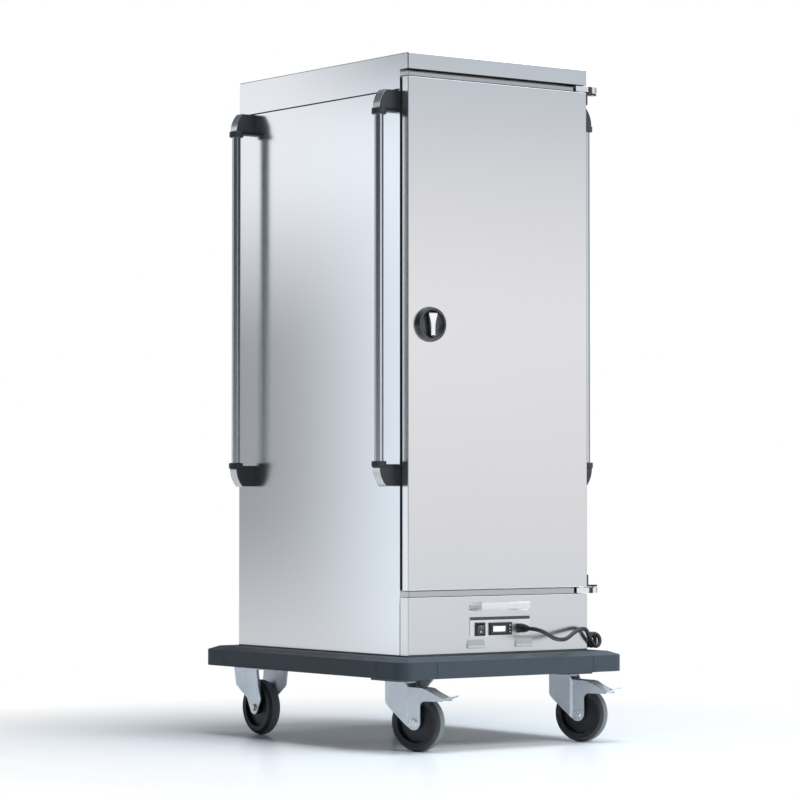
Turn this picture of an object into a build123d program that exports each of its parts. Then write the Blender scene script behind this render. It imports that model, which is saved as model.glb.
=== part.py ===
from build123d import *
import math
import os

# Heated banquet cart: insulated cabinet on a bumper chassis with four castors.
# Millimetres. Origin on the floor under the middle of the cabinet, Z up, door towards -Y.

# Driving dimensions: heights from the floor up
CASTOR_HEIGHT = 198.0
CHASSIS_PLATE = 4.0
CHASSIS_RIM = 60.0
PLINTH_HEIGHT = 157.0
LOWER_GAP = 19.0
DOOR_HEIGHT = 1401.0
UPPER_GAP = 21.0
FASCIA_HEIGHT = 44.0
COVER_SKIRT = 96.0
SKIRT_GAP = 4.0

# Driving dimensions: plan and walls
BODY_WIDTH = 630.0
BODY_DEPTH = 830.0
DOOR_THICKNESS = 26.0
GASKET_SPACE = 12.0
SHEET = 1.2
LINER_SHEET = 1.0
FRAME_SHEET = 2.0
SIDE_WALL = 35.0
REAR_WALL = 40.0
CEILING_WALL = 72.0
FLOOR_RISE = 18.0
BASE_INSULATION = 46.0
SEAM = 2.0

# Driving dimensions: chassis and bumper
CHASSIS_FLANGE = 30.0
RIM_SHEET = 3.0
RIM_RETURN = 25.0
BUMPER_REACH = 77.0
BUMPER_FACE = 46.0
BUMPER_SLOPE = 10.0
BUMPER_SLOPE_RUN = 34.0
BUMPER_RADIUS = 42.0
BUMPER_WALL = 5.0
BUMPER_CORNER = 118.0
BUMPER_SEAM = 1.0

# Driving dimensions: door, hinge and latch
EDGE_RADIUS = 2.0
COVER_RADIUS = 3.0
GASKET_WIDTH = 18.0
GASKET_INSET = 4.0
PAN_DEPTH = 10.0
PAN_INSET = 14.0
RAIL_HEIGHT = 15.0
RAIL_SETBACK = 6.0
RAIL_LAP = 1.5
RAIL_OVER = 2.5
TOP_RAIL_HEIGHT = 10.0
HINGE_OUT = 32.0
HINGE_BACK = 12.0
HINGE_EYE = 12.0
HINGE_PIN = 5.0
ARM_LENGTH = 70.0
BRACKET_LEG = 34.0
BRACKET_SHEET = 5.0
LATCH_INSET = 74.0
LATCH_Z = 1163.0
ROSETTE_RADIUS = 48.5
ROSETTE_DEPTH = 15.0
BOWL_RADIUS = 39.0
BOWL_DEPTH = 12.0
BOWL_CURVE = 9.0
GRIP_LENGTH = 66.0
GRIP_TOP = 31.0
GRIP_BOTTOM = 15.0
SPINDLE_RADIUS = 6.0
CAM_REACH = 22.0
CAM_WIDTH = 20.0
CAM_SHEET = 4.0
ROSETTE_RIM = 4.0
ROSETTE_DRAFT = 3.0
GRIP_CORNER = 5.0

# Driving dimensions: push handles
TUBE_RADIUS = 12.5
TUBE_WALL = 2.0
HANDLE_OUT = 50.0
HANDLE_BOTTOM = 722.0
HANDLE_TOP = 1804.0
HANDLE_FRONT_INSET = 28.0
HANDLE_REAR_INSET = 58.0
HOLDER_HEIGHT = 68.0
HOLDER_WIDTH = 38.0
HOLDER_REACH = 58.0
HOLDER_INSET = 22.0
HOLDER_ROUND = 7.0
COLLAR_RADIUS = 20.5
COLLAR_HEIGHT = 17.0
COLLAR_ROUND = 3.0
TUBE_SEAT = 15.0
TRIM_WIDTH = 33.0
TRIM_SHEET = 1.6

# Driving dimensions: racks inside the cavity
RUNNER_PAIRS = 18
RUNNER_PITCH = 72.0
RUNNER_LENGTH = 640.0
RUNNER_SHELF = 24.0
RUNNER_LEG = 14.0
RUNNER_SHEET = 1.5
UPRIGHT_WIDTH = 30.0
UPRIGHT_DEPTH = 8.0

# Driving dimensions: plinth and controls
PANEL_WIDTH = 209.0
PANEL_HEIGHT = 54.0
PANEL_SHEET = 2.0
PANEL_DROP = 57.0
RECESS_WIDTH = 216.0
RECESS_HEIGHT = 25.0
RECESS_DEPTH = 20.0
RECESS_DROP = 29.0
RECESS_FLOOR = 95.0
RECESS_DRAFT = 3.0
LOUVRE_WIDTH = 58.0
LOUVRE_HEIGHT = 24.0
LOUVRE_PROUD = 6.0
LOUVRE_LIP = 7.0
LOUVRE_SPREAD = 84.0
LOUVRE_DROP = 119.0
SWITCH_X = -70.5
SWITCH_WIDTH = 33.0
SWITCH_HEIGHT = 37.0
SWITCH_PROUD = 5.0
ROCKER_WIDTH = 22.0
ROCKER_HEIGHT = 26.0
ROCKER_TILT = 8.0
THERMOSTAT_WIDTH = 77.0
THERMOSTAT_HEIGHT = 35.0
THERMOSTAT_PROUD = 6.0
WINDOW_WIDTH = 49.0
WINDOW_HEIGHT = 20.0
WINDOW_X = -7.0
KEY_X = 29.0
KEY_PITCH = 9.5
KEY_WIDTH = 9.0
KEY_HEIGHT = 6.5
KEY_PROUD = 1.0
GLAND_X = 67.0
GLAND_LENGTH = 38.0
GLAND_RADIUS = 12.0
GLAND_NUT = 14.5
GLAND_NUT_LENGTH = 7.0
GLAND_TAIL = 15.0
GLAND_RIBS = 8
CONTROL_DROP = 34.0
CUTOUT_LAP = 3.0
SWITCH_BODY = 26.0
SWITCH_WELL = 8.0
TRUNNION = 1.5
ROCKER_END = 6.5
ROCKER_MIDDLE = 4.5
ROCKER_ROOT = 4.0
THERMOSTAT_BODY = 44.0

# Driving dimensions: castors
WHEEL_RADIUS = 80.0
TYRE_WIDTH = 40.0
RIM_RADIUS = 62.0
AXLE_RADIUS = 6.0
SWIVEL_INSET = 27.0
SWIVEL_SETBACK = 73.0
SWIVEL_TURN = 23.0
TRAIL = 57.0
FIXED_INSET = 45.0
FIXED_SETBACK = 50.0
PLATE_LENGTH = 135.0
PLATE_WIDTH = 110.0
PLATE_SHEET = 6.0
FORK_GAP = 45.0
FORK_SHEET = 3.5
FORK_JOGGLE = 3.5
KING_PIN = 8.0
KING_NUT = 12.0
KING_DROP = 6.0
RACE_RADIUS = 38.0
RACE_HEIGHT = 1.5
RACE_DROP = 3.0
FORK_STEP = 13.0
DECK_SHEET = 4.0
AXLE_EYE = 20.0
AXLE_HEAD = 7.0
FORK_BACK = 40.0
FORK_SHOULDER = 38.0
HOUSING_ROUND = 22.0
SHOULDER_ROUND = 30.0
WING_REACH = 92.0
WING_DROP = 30.0
WING_WIDTH = 7.0
WING_ROUND = 15.0
FIXED_HALF = 36.0
FIXED_FLARE = 20.0
FIXED_SPLAY = 11.0
FIXED_SHOULDER = 48.0
FIXED_BEND = 105.0
PLATE_ROUND = 10.0
HUB_RADIUS = 18.0
WEB_HALF = 9.0
RIM_LIP = 6.0
PEDAL_WIDTH = 42.0
PEDAL_SHEET = 3.0
PEDAL_PIN = 3.0
PEDAL_KNEE = 41.0
PEDAL_TOE = 88.0
PEDAL_DROP = 28.0
PEDAL_LIP = 30.0
PEDAL_RISE = 11.0
PEDAL_CORNER = 8.0

# Driving dimensions: heater under the cavity floor
HEATER_WIDTH = 420.0
HEATER_LENGTH = 520.0
HEATER_HEIGHT = 60.0
ELEMENT_RADIUS = 4.25
ELEMENT_LEGS = 4
ELEMENT_PITCH = 80.0

# Driving dimensions: mains lead, 11.5 mm rubber flex with a curly stretch
CORD_RADIUS = 5.75
CURL_RADIUS = 17.5
CURL_PITCH = 20.0
CURL_TURNS = 14
CURL_OUT = 27.0
CURL_AHEAD = 9.0
CURL_LIFT = 6.0
CURL_FROM = 207.0
LEAD_RUN = 20.0
LEAD_SPAN = 256.8
TAIL_RUN = 13.5
PLUG_RADIUS = 19.0
PLUG_LENGTH = 42.0
PLUG_ROLL = 35.0
PIN_RADIUS = 2.4
PIN_LENGTH = 19.0
PIN_SEAT = 8.0
PIN_SPREAD = 19.0

# Clearances
RUN = 0.05
GAP = 0.3
FLOAT = 0.5

# Levels and planes that the pieces share
Z_CHASSIS = CASTOR_HEIGHT
Z_BUMPER = Z_CHASSIS + CHASSIS_PLATE
Z_LEDGE = Z_BUMPER + BUMPER_FACE + BUMPER_SLOPE
Z_BODY = Z_BUMPER + CHASSIS_RIM
Z_PLINTH_TOP = Z_BODY + PLINTH_HEIGHT
Z_DOOR = Z_PLINTH_TOP + LOWER_GAP
Z_DOOR_TOP = Z_DOOR + DOOR_HEIGHT
Z_FASCIA = Z_DOOR_TOP + UPPER_GAP
Z_TOP = Z_FASCIA + FASCIA_HEIGHT
Z_SKIRT = Z_TOP - COVER_SKIRT
Z_PANEL_TOP = Z_SKIRT - SKIRT_GAP
Z_FLOOR = Z_DOOR + FLOOR_RISE
Z_CEILING = Z_SKIRT + COVER_SKIRT - CEILING_WALL - FASCIA_HEIGHT
HALF_W = BODY_WIDTH / 2
HALF_D = BODY_DEPTH / 2
FRONT = -HALF_D
REAR = HALF_D
FRAME = FRONT + DOOR_THICKNESS + GASKET_SPACE
FRAME_BACK = FRAME + FRAME_SHEET
DOOR_BACK = FRONT + DOOR_THICKNESS
INNER_W = HALF_W - SIDE_WALL
INNER_REAR = REAR - REAR_WALL
HINGE_X = HALF_W + HINGE_OUT
HINGE_Y = FRONT + HINGE_BACK
LATCH_X = -HALF_W + LATCH_INSET
PANEL_FRONT = FRONT - PANEL_SHEET
PANEL_TOP = Z_PLINTH_TOP - PANEL_DROP
CONTROL_Z = PANEL_TOP - CONTROL_DROP
GLAND_TIP = PANEL_FRONT - GLAND_LENGTH
SWIVEL_X = HALF_W - SWIVEL_INSET
SWIVEL_Y = HALF_D - SWIVEL_SETBACK
FIXED_X = HALF_W - FIXED_INSET
FIXED_Y = HALF_D - FIXED_SETBACK
CURL_X = HALF_W + CURL_OUT
CURL_Y = FRONT - CURL_AHEAD


def block(x0, x1, y0, y1, z0, z1):
    """Box between two opposite corners."""
    middle = Pos((x0 + x1) / 2, (y0 + y1) / 2, (z0 + z1) / 2)
    return middle * Box(x1 - x0, y1 - y0, z1 - z0)


def post(x, y, z0, z1, radius):
    """Round bar along Z."""
    return Pos(x, y, (z0 + z1) / 2) * Cylinder(radius, z1 - z0)


def bar_x(x0, x1, y, z, radius):
    """Round bar along X."""
    return Pos((x0 + x1) / 2, y, z) * Rot(0, 90, 0) * Cylinder(radius, x1 - x0)


def bar_y(x, y0, y1, z, radius):
    """Round bar along Y."""
    return Pos(x, (y0 + y1) / 2, z) * Rot(90, 0, 0) * Cylinder(radius, y1 - y0)


def facing(x, y, z):
    """Plane on an upright face, its normal towards +Y."""
    return Plane(origin=(x, y, z), x_dir=(1, 0, 0), z_dir=(0, 1, 0))


def side_profile(points, y0, y1):
    """Prism of an (x, z) outline between two Y values."""
    sketch = Plane.XZ * make_face(Polyline(*points, close=True))
    return Pos(0, y1, 0) * extrude(sketch, y1 - y0)


def mirrored(solid):
    """A solid and its copy on the other side of the middle plane."""
    return [solid, mirror(solid, about=Plane.YZ)]


def solids_of(shape):
    """Flat list of the solids in a shape or a list of shapes."""
    shapes = shape if isinstance(shape, (list, tuple)) else [shape]
    return [solid for item in shapes for solid in item.solids()]


def save(name, shape):
    """One STEP file for a node."""
    solids = solids_of(shape)
    body = solids[0] if len(solids) == 1 else Compound(solids)
    export_step(body, os.path.join("parts", name + ".step"))


# Chassis and bumper

def chassis():
    plate_w = BODY_WIDTH + 2 * CHASSIS_FLANGE
    plate_d = BODY_DEPTH + 2 * CHASSIS_FLANGE
    outline = RectangleRounded(plate_w, plate_d, CHASSIS_FLANGE)
    plate = Pos(0, 0, Z_CHASSIS) * extrude(outline, CHASSIS_PLATE)
    rim = block(-HALF_W, HALF_W, FRONT, REAR, Z_BUMPER, Z_BODY)
    rim -= block(-HALF_W + RIM_SHEET, HALF_W - RIM_SHEET, FRONT + RIM_SHEET, REAR - RIM_SHEET,
                 Z_BUMPER, Z_BODY - RIM_SHEET)
    rim -= block(-HALF_W + RIM_RETURN, HALF_W - RIM_RETURN, FRONT + RIM_RETURN, REAR - RIM_RETURN,
                 Z_BUMPER, Z_BODY)
    return plate + rim


def bumper_ring():
    """Hollow plastic bumper round the chassis, before it is cut into lengths."""
    reach = 2 * BUMPER_REACH
    outline = RectangleRounded(BODY_WIDTH + reach, BODY_DEPTH + reach, BUMPER_RADIUS)
    reach -= 2 * BUMPER_WALL
    hollow = RectangleRounded(BODY_WIDTH + reach, BODY_DEPTH + reach, BUMPER_RADIUS - BUMPER_WALL)
    slope = math.degrees(math.atan2(BUMPER_SLOPE_RUN, BUMPER_SLOPE))
    ring = Pos(0, 0, Z_BUMPER) * extrude(outline, BUMPER_FACE)
    ring += Pos(0, 0, Z_BUMPER + BUMPER_FACE) * extrude(outline, BUMPER_SLOPE, taper=slope)
    shell = Pos(0, 0, Z_BUMPER) * extrude(hollow, BUMPER_FACE - BUMPER_WALL)
    inner = HALF_W + BUMPER_WALL
    inner_d = HALF_D + BUMPER_WALL
    shell -= block(-inner, inner, -inner_d, inner_d, Z_BUMPER, Z_LEDGE)
    ring -= shell
    return ring - block(-HALF_W, HALF_W, FRONT, REAR, Z_BUMPER, Z_LEDGE)


def bumper_pieces():
    """Straight lengths and corner pieces."""
    ring = bumper_ring()
    reach_x = HALF_W + BUMPER_REACH
    reach_y = HALF_D + BUMPER_REACH
    cut_x = reach_x - BUMPER_CORNER
    cut_y = reach_y - BUMPER_CORNER
    s = BUMPER_SEAM
    straight = []
    corners = []
    for side in (-1, 1):
        mid = side * (cut_x + reach_x) / 2
        zone = Pos(mid, 0, Z_LEDGE) * Box(BUMPER_CORNER, 2 * (cut_y - s), 4 * CHASSIS_RIM)
        straight.append(ring & zone)
        mid = side * (cut_y + reach_y) / 2
        zone = Pos(0, mid, Z_LEDGE) * Box(2 * (cut_x - s), BUMPER_CORNER, 4 * CHASSIS_RIM)
        straight.append(ring & zone)
        for end in (-1, 1):
            place = Pos(side * (cut_x + reach_x) / 2, end * (cut_y + reach_y) / 2, Z_LEDGE)
            corners.append(ring & place * Box(BUMPER_CORNER, BUMPER_CORNER, 4 * CHASSIS_RIM))
    return straight, corners


# Cabinet walls

def side_panels():
    sheet = block(HALF_W - SHEET, HALF_W, FRAME, REAR, Z_BODY, Z_PANEL_TOP)
    sheet += block(HALF_W - RIM_RETURN, HALF_W, REAR - SHEET, REAR, Z_BODY, Z_PANEL_TOP)
    return mirrored(sheet)


def rear_panel():
    edge = HALF_W - RIM_RETURN - SEAM
    return block(-edge, edge, REAR - SHEET, REAR, Z_BODY, Z_PANEL_TOP)


def top_cover():
    cover = block(-HALF_W, HALF_W, FRONT, REAR, Z_FASCIA, Z_TOP)
    cover += block(-HALF_W, HALF_W, FRAME, REAR, Z_SKIRT, Z_FASCIA)
    cover = fillet(cover.edges().filter_by(Axis.Z).group_by(Axis.Y)[0], COVER_RADIUS)
    cover = fillet(cover.faces().sort_by(Axis.Z)[-1].edges(), COVER_RADIUS)
    cover -= block(-HALF_W + SHEET, HALF_W - SHEET, FRONT + SHEET, REAR - SHEET,
                   Z_FASCIA + SHEET, Z_TOP - SHEET)
    cover -= block(-HALF_W + SHEET, HALF_W - SHEET, FRAME, REAR - SHEET, Z_SKIRT, Z_FASCIA + SHEET)
    return cover


def front_frame():
    """Sealing frame that closes the wall round the cavity's mouth."""
    ring = block(-HALF_W + SHEET, HALF_W - SHEET, FRAME, FRAME_BACK, Z_PLINTH_TOP, Z_FASCIA)
    return ring - block(-INNER_W, INNER_W, FRAME, FRAME_BACK, Z_FLOOR, Z_CEILING)


def gap_rails():
    """Rails in the gaps under and over the door, up to the hinge arms."""
    end = HINGE_X - ARM_LENGTH - RAIL_SETBACK
    rails = []
    lower = (Z_PLINTH_TOP + RAIL_LAP, RAIL_HEIGHT)
    upper = (Z_DOOR_TOP + RAIL_OVER, TOP_RAIL_HEIGHT)
    for z0, height in (lower, upper):
        rail = block(-HALF_W, end, FRONT + RAIL_SETBACK, FRAME, z0, z0 + height)
        rail -= block(-HALF_W + RAIL_SETBACK, -HALF_W + RAIL_SETBACK + RAIL_LAP,
                      FRONT, FRONT + RAIL_SETBACK + RAIL_LAP, z0, z0 + height)
        rails.append(rail)
    return rails


def liner():
    """Cavity walls: sides, rear, ceiling and a floor with warm-air slots."""
    top = Z_CEILING + LINER_SHEET
    side = block(INNER_W, INNER_W + LINER_SHEET, FRAME_BACK, INNER_REAR, Z_FLOOR, Z_CEILING)
    rear = block(-INNER_W - LINER_SHEET, INNER_W + LINER_SHEET, INNER_REAR, INNER_REAR + LINER_SHEET,
                 Z_FLOOR, Z_CEILING)
    ceiling = block(-INNER_W - LINER_SHEET, INNER_W + LINER_SHEET, FRAME_BACK, INNER_REAR + LINER_SHEET,
                    Z_CEILING, top)
    floor = block(-INNER_W - LINER_SHEET, INNER_W + LINER_SHEET, FRAME_BACK, INNER_REAR + LINER_SHEET,
                  Z_FLOOR - LINER_SHEET, Z_FLOOR)
    slot = Pos(0, 0, Z_FLOOR - LINER_SHEET) * extrude(SlotOverall(HEATER_WIDTH / 3, 12), LINER_SHEET)
    rows = HEATER_LENGTH / 8
    for row in range(7):
        for column in (-1, 0, 1):
            floor -= Pos(column * HEATER_WIDTH / 2.5, (row - 3) * rows, 0) * slot
    return mirrored(side) + [rear, ceiling, floor]


def insulation():
    """Slabs between the outer panels and the cavity."""
    outer = HALF_W - SHEET
    inner = INNER_W + LINER_SHEET
    back = INNER_REAR + LINER_SHEET
    side = block(inner, outer, FRAME_BACK, REAR - SHEET, Z_FLOOR, Z_PANEL_TOP)
    rear = block(-inner, inner, back, REAR - SHEET, Z_FLOOR, Z_PANEL_TOP)
    roof = block(-inner, inner, FRAME_BACK, back, Z_CEILING + LINER_SHEET, Z_PANEL_TOP)
    base = block(-outer, outer, FRAME_BACK, REAR - SHEET, Z_BODY, Z_BODY + BASE_INSULATION)
    return mirrored(side) + [rear, roof, base]


def racks():
    """Uprights on the cavity walls and the tray runners that hang on them."""
    front = INNER_REAR - RUNNER_LENGTH - UPRIGHT_WIDTH
    base = Z_FLOOR + RUNNER_PITCH / 2
    wall = INNER_W
    uprights = []
    for y in (front + RUNNER_LENGTH / 6, front + RUNNER_LENGTH * 5 / 6):
        channel = block(wall - UPRIGHT_DEPTH, wall, y, y + UPRIGHT_WIDTH, Z_FLOOR, Z_CEILING)
        channel -= block(wall - UPRIGHT_DEPTH + RUNNER_SHEET, wall, y + RUNNER_SHEET,
                         y + UPRIGHT_WIDTH - RUNNER_SHEET, Z_FLOOR, Z_CEILING)
        uprights += mirrored(channel)
    face = wall - UPRIGHT_DEPTH
    runners = []
    for step in range(RUNNER_PAIRS):
        z = base + step * RUNNER_PITCH
        shelf = block(face - RUNNER_SHELF, face, front, front + RUNNER_LENGTH, z - RUNNER_SHEET, z)
        shelf += block(face - RUNNER_SHEET, face, front, front + RUNNER_LENGTH, z - RUNNER_LEG, z)
        runners += mirrored(shelf)
    return uprights, runners


# Door, hinges and latch

def door_skin():
    skin = block(-HALF_W, HALF_W, FRONT, DOOR_BACK - SHEET, Z_DOOR, Z_DOOR_TOP)
    skin = fillet(skin.faces().sort_by(Axis.Y)[0].edges(), EDGE_RADIUS)
    skin -= block(-HALF_W + SHEET, HALF_W - SHEET, FRONT + SHEET, DOOR_BACK,
                  Z_DOOR + SHEET, Z_DOOR_TOP - SHEET)
    return skin - bar_y(LATCH_X, FRONT, DOOR_BACK, LATCH_Z, SPINDLE_RADIUS + GAP)


def door_core():
    core = block(-HALF_W + SHEET, HALF_W - SHEET, FRONT + SHEET, DOOR_BACK - SHEET,
                 Z_DOOR + SHEET, Z_DOOR_TOP - SHEET)
    return core - bar_y(LATCH_X, FRONT, DOOR_BACK, LATCH_Z, SPINDLE_RADIUS + GAP)


def door_liner():
    """Inner panel with a pan pressed towards the cavity."""
    panel = block(-HALF_W, HALF_W, DOOR_BACK - SHEET, DOOR_BACK, Z_DOOR, Z_DOOR_TOP)
    edge = INNER_W - PAN_INSET
    pan = block(-edge, edge, DOOR_BACK, DOOR_BACK + PAN_DEPTH,
                Z_FLOOR + PAN_INSET, Z_CEILING - PAN_INSET)
    pan = fillet(pan.edges().filter_by(Axis.Y), PAN_INSET)
    pan = fillet(pan.faces().sort_by(Axis.Y)[-1].edges(), PAN_DEPTH / 2)
    inner = edge - SHEET
    hollow = block(-inner, inner, DOOR_BACK - SHEET, DOOR_BACK + PAN_DEPTH - SHEET,
                   Z_FLOOR + PAN_INSET + SHEET, Z_CEILING - PAN_INSET - SHEET)
    hollow = fillet(hollow.edges().filter_by(Axis.Y), PAN_INSET - SHEET)
    hollow = fillet(hollow.faces().sort_by(Axis.Y)[-1].edges(), PAN_DEPTH / 2 - SHEET)
    panel = panel + pan - hollow
    return panel - bar_y(LATCH_X, FRONT, FRAME, LATCH_Z, SPINDLE_RADIUS + GAP)


def door_gasket():
    x = HALF_W - GASKET_INSET
    low = Z_DOOR + GASKET_INSET
    high = Z_DOOR_TOP - GASKET_INSET
    ring = block(-x, x, DOOR_BACK, FRAME - GAP, low, high)
    ring = fillet(ring.edges().filter_by(Axis.Y), GASKET_INSET)
    w = GASKET_WIDTH
    ring -= block(-x + w, x - w, DOOR_BACK, FRAME, low + w, high - w)
    groove = block(-x + w / 3, x - w / 3, FRAME - GASKET_SPACE / 3, FRAME, low + w / 3, high - w / 3)
    groove -= block(-x + w * 2 / 3, x - w * 2 / 3, DOOR_BACK, FRAME, low + w * 2 / 3, high - w * 2 / 3)
    return ring - groove


def hinge_arms():
    """Arms in the gaps, each with its pin through the eye."""
    arms = []
    for z0, side in ((Z_PLINTH_TOP + RAIL_LAP, 1), (Z_DOOR_TOP + RAIL_OVER, -1)):
        z1 = z0 + RAIL_HEIGHT
        arm = block(HINGE_X - ARM_LENGTH, HINGE_X, FRONT, FRONT + 2 * HINGE_BACK, z0, z1)
        arm += block(HINGE_X - ARM_LENGTH, HALF_W - SHEET, FRONT, FRAME, z0, z1)
        arm += post(HINGE_X, HINGE_Y, z0, z1, HINGE_EYE)
        if side > 0:
            arm += post(HINGE_X, HINGE_Y, z0, Z_DOOR + BRACKET_SHEET, HINGE_PIN)
        else:
            arm += post(HINGE_X, HINGE_Y, Z_DOOR_TOP - BRACKET_SHEET, z1, HINGE_PIN)
        arms.append(arm)
    return arms


def door_brackets():
    """Angle on the door's edge with a lug round the hinge pin."""
    brackets = []
    for z0, rise in ((Z_DOOR, 1), (Z_DOOR_TOP, -1)):
        low = min(z0, z0 + rise * BRACKET_SHEET)
        high = max(z0, z0 + rise * BRACKET_SHEET)
        half = HINGE_EYE - CUTOUT_LAP / 3
        lug = block(HALF_W, HINGE_X, HINGE_Y - half, HINGE_Y + half, low, high)
        lug += post(HINGE_X, HINGE_Y, low, high, half)
        low = min(z0, z0 + rise * BRACKET_LEG)
        high = max(z0, z0 + rise * BRACKET_LEG)
        lug += block(HALF_W, HALF_W + BRACKET_SHEET, HINGE_Y - half, HINGE_Y + half, low, high)
        brackets.append(lug - post(HINGE_X, HINGE_Y, Z_DOOR, Z_DOOR_TOP, HINGE_PIN + RUN))
    return brackets


def latch_bowl(shrink):
    """Finger bowl of the latch as a solid about Y, smaller by a clearance."""
    floor = ROSETTE_DEPTH - BOWL_DEPTH + shrink
    rim = BOWL_RADIUS - shrink
    bend = (rim - BOWL_CURVE / 5, floor + BOWL_CURVE * 0.75)
    wall = ThreePointArc((rim, ROSETTE_DEPTH), bend, (rim - BOWL_CURVE, floor))
    rest = Polyline((rim - BOWL_CURVE, floor), (0, floor), (0, ROSETTE_DEPTH), (rim, ROSETTE_DEPTH))
    return revolve(make_face(wall + rest), Axis.Y)


def latch_place():
    """Latch axis on the door, with the local +Y pointing out of its front."""
    return Pos(LATCH_X, FRONT, LATCH_Z) * Rot(0, 0, 180)


def latch_rosette():
    """Round housing on the door with a bowl for the fingers."""
    outline = Polyline((0, 0), (ROSETTE_RADIUS, 0), (ROSETTE_RADIUS, ROSETTE_RIM),
                       (ROSETTE_RADIUS - ROSETTE_DRAFT, ROSETTE_DEPTH), (0, ROSETTE_DEPTH), close=True)
    cup = revolve(make_face(outline), Axis.Y) - latch_bowl(0)
    cup = fillet(cup.edges().filter_by(GeomType.CIRCLE).group_by(Axis.Y)[-1], EDGE_RADIUS)
    hole = bar_y(LATCH_X, FRONT - ROSETTE_DEPTH, FRONT, LATCH_Z, SPINDLE_RADIUS + RUN)
    return latch_place() * cup - hole


def latch_grip():
    """Tapered finger grip across the bowl."""
    half = GRIP_LENGTH / 2
    outline = Polyline((-GRIP_TOP / 2, half), (GRIP_TOP / 2, half), (GRIP_BOTTOM / 2, -half),
                       (-GRIP_BOTTOM / 2, -half), close=True)
    shape = fillet(make_face(outline).vertices(), GRIP_CORNER)
    back = FRONT - ROSETTE_DEPTH + BOWL_DEPTH - GAP
    face = FRONT - ROSETTE_DEPTH
    grip = Pos(LATCH_X, back, LATCH_Z) * extrude(Plane.XZ * shape, back - face)
    grip = fillet(grip.faces().sort_by(Axis.Y)[0].edges(), EDGE_RADIUS)
    return grip & latch_place() * latch_bowl(GAP)


def latch_spindle():
    """Spindle through the door and the cam on its inner end."""
    start = FRONT - ROSETTE_DEPTH + BOWL_DEPTH - GAP
    cam_front = FRAME + 4 * CAM_SHEET
    rod = bar_y(LATCH_X, start, cam_front + CAM_SHEET, LATCH_Z, SPINDLE_RADIUS)
    outline = Pos(0, -CAM_REACH / 2) * SlotCenterToCenter(CAM_REACH, CAM_WIDTH, 90)
    cam = Pos(LATCH_X, cam_front + CAM_SHEET, LATCH_Z) * extrude(Plane.XZ * outline, CAM_SHEET)
    return rod + cam


def latch_keeper():
    """Hook plate inside the cavity's mouth that the cam turns behind."""
    cam_front = FRAME + 4 * CAM_SHEET
    tip = -INNER_W + CAM_SHEET + CAM_WIDTH / 2
    low = LATCH_Z - CAM_WIDTH
    high = LATCH_Z + CAM_WIDTH
    leg = block(-INNER_W, -INNER_W + CAM_SHEET, FRAME_BACK, cam_front + CAM_SHEET, low, high)
    hook = block(-INNER_W, tip, cam_front - GAP - CAM_SHEET, cam_front - GAP, low, high)
    return leg + hook


# Push handles

def holder_outline(grow):
    """Side outline of a bracket: flat end, then a long curve down to the collar, larger by grow."""
    rise = HOLDER_HEIGHT - COLLAR_HEIGHT + grow
    reach = HOLDER_REACH + grow
    curve = TangentArc((reach, 0), (reach - HOLDER_INSET, rise), tangent=(0, 1))
    rest = Polyline((reach - HOLDER_INSET, rise), (0, rise), (0, 0), (reach, 0))
    shape = make_face(curve + rest)
    corner = shape.vertices().group_by(Axis.Y)[-1].sort_by(Axis.X)[-1]
    return fillet(corner, HOLDER_ROUND + grow)


def holder(x_wall, y, z_end, up):
    """Curved plastic bracket at a tube's end; up is 1 at the top, -1 at the bottom."""
    body = extrude(Plane.XZ * holder_outline(0), HOLDER_WIDTH / 2, both=True)
    sides = body.edges().group_by(Axis.Y)
    rims = [edge for edge in sides[0] + sides[-1] if edge.center().X > 1 and edge.center().Z > 1]
    body = fillet(rims, (HOLDER_WIDTH - TRIM_WIDTH) / 2 - 1)
    collar = post(HANDLE_OUT, 0, -COLLAR_HEIGHT, 0, COLLAR_RADIUS)
    body += fillet(collar.edges().filter_by(GeomType.CIRCLE), COLLAR_ROUND)
    body += block(0, HANDLE_OUT, -HOLDER_WIDTH / 2 + 4, HOLDER_WIDTH / 2 - 4, -COLLAR_HEIGHT / 2, 0)
    body -= post(HANDLE_OUT, 0, -COLLAR_HEIGHT, TUBE_SEAT - COLLAR_HEIGHT, TUBE_RADIUS)
    turn = Rot(0, 0, 0) if up > 0 else Rot(180, 0, 0)
    level = z_end - up * (HOLDER_HEIGHT - COLLAR_HEIGHT)
    return Pos(x_wall, y, level) * turn * body


def holder_trim(x_wall, y, z_end, up):
    """Bright strip on the outer curve of a bracket."""
    strip = holder_outline(TRIM_SHEET) - holder_outline(GAP)
    inner = HOLDER_REACH - HOLDER_INSET
    strip &= Pos(inner, 2) * Rectangle(HOLDER_REACH, HOLDER_REACH, align=(Align.MIN, Align.MIN))
    body = extrude(Plane.XZ * strip, TRIM_WIDTH / 2, both=True)
    turn = Rot(0, 0, 0) if up > 0 else Rot(180, 0, 0)
    return Pos(x_wall, y, z_end - up * (HOLDER_HEIGHT - COLLAR_HEIGHT)) * turn * body


def push_handles():
    tubes = []
    holders = []
    trims = []
    seat = HOLDER_HEIGHT - TUBE_SEAT
    for y in (FRAME + HANDLE_FRONT_INSET, REAR - HANDLE_REAR_INSET):
        x = HALF_W + HANDLE_OUT
        tube = post(x, y, HANDLE_BOTTOM + seat, HANDLE_TOP - seat, TUBE_RADIUS)
        tube -= post(x, y, HANDLE_BOTTOM + seat, HANDLE_TOP - seat, TUBE_RADIUS - TUBE_WALL)
        tubes += mirrored(tube)
        for z_end, up in ((HANDLE_TOP, 1), (HANDLE_BOTTOM, -1)):
            holders += mirrored(holder(HALF_W, y, z_end, up))
            trims += mirrored(holder_trim(HALF_W, y, z_end, up))
    return tubes, holders, trims


# Plinth with its controls

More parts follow.
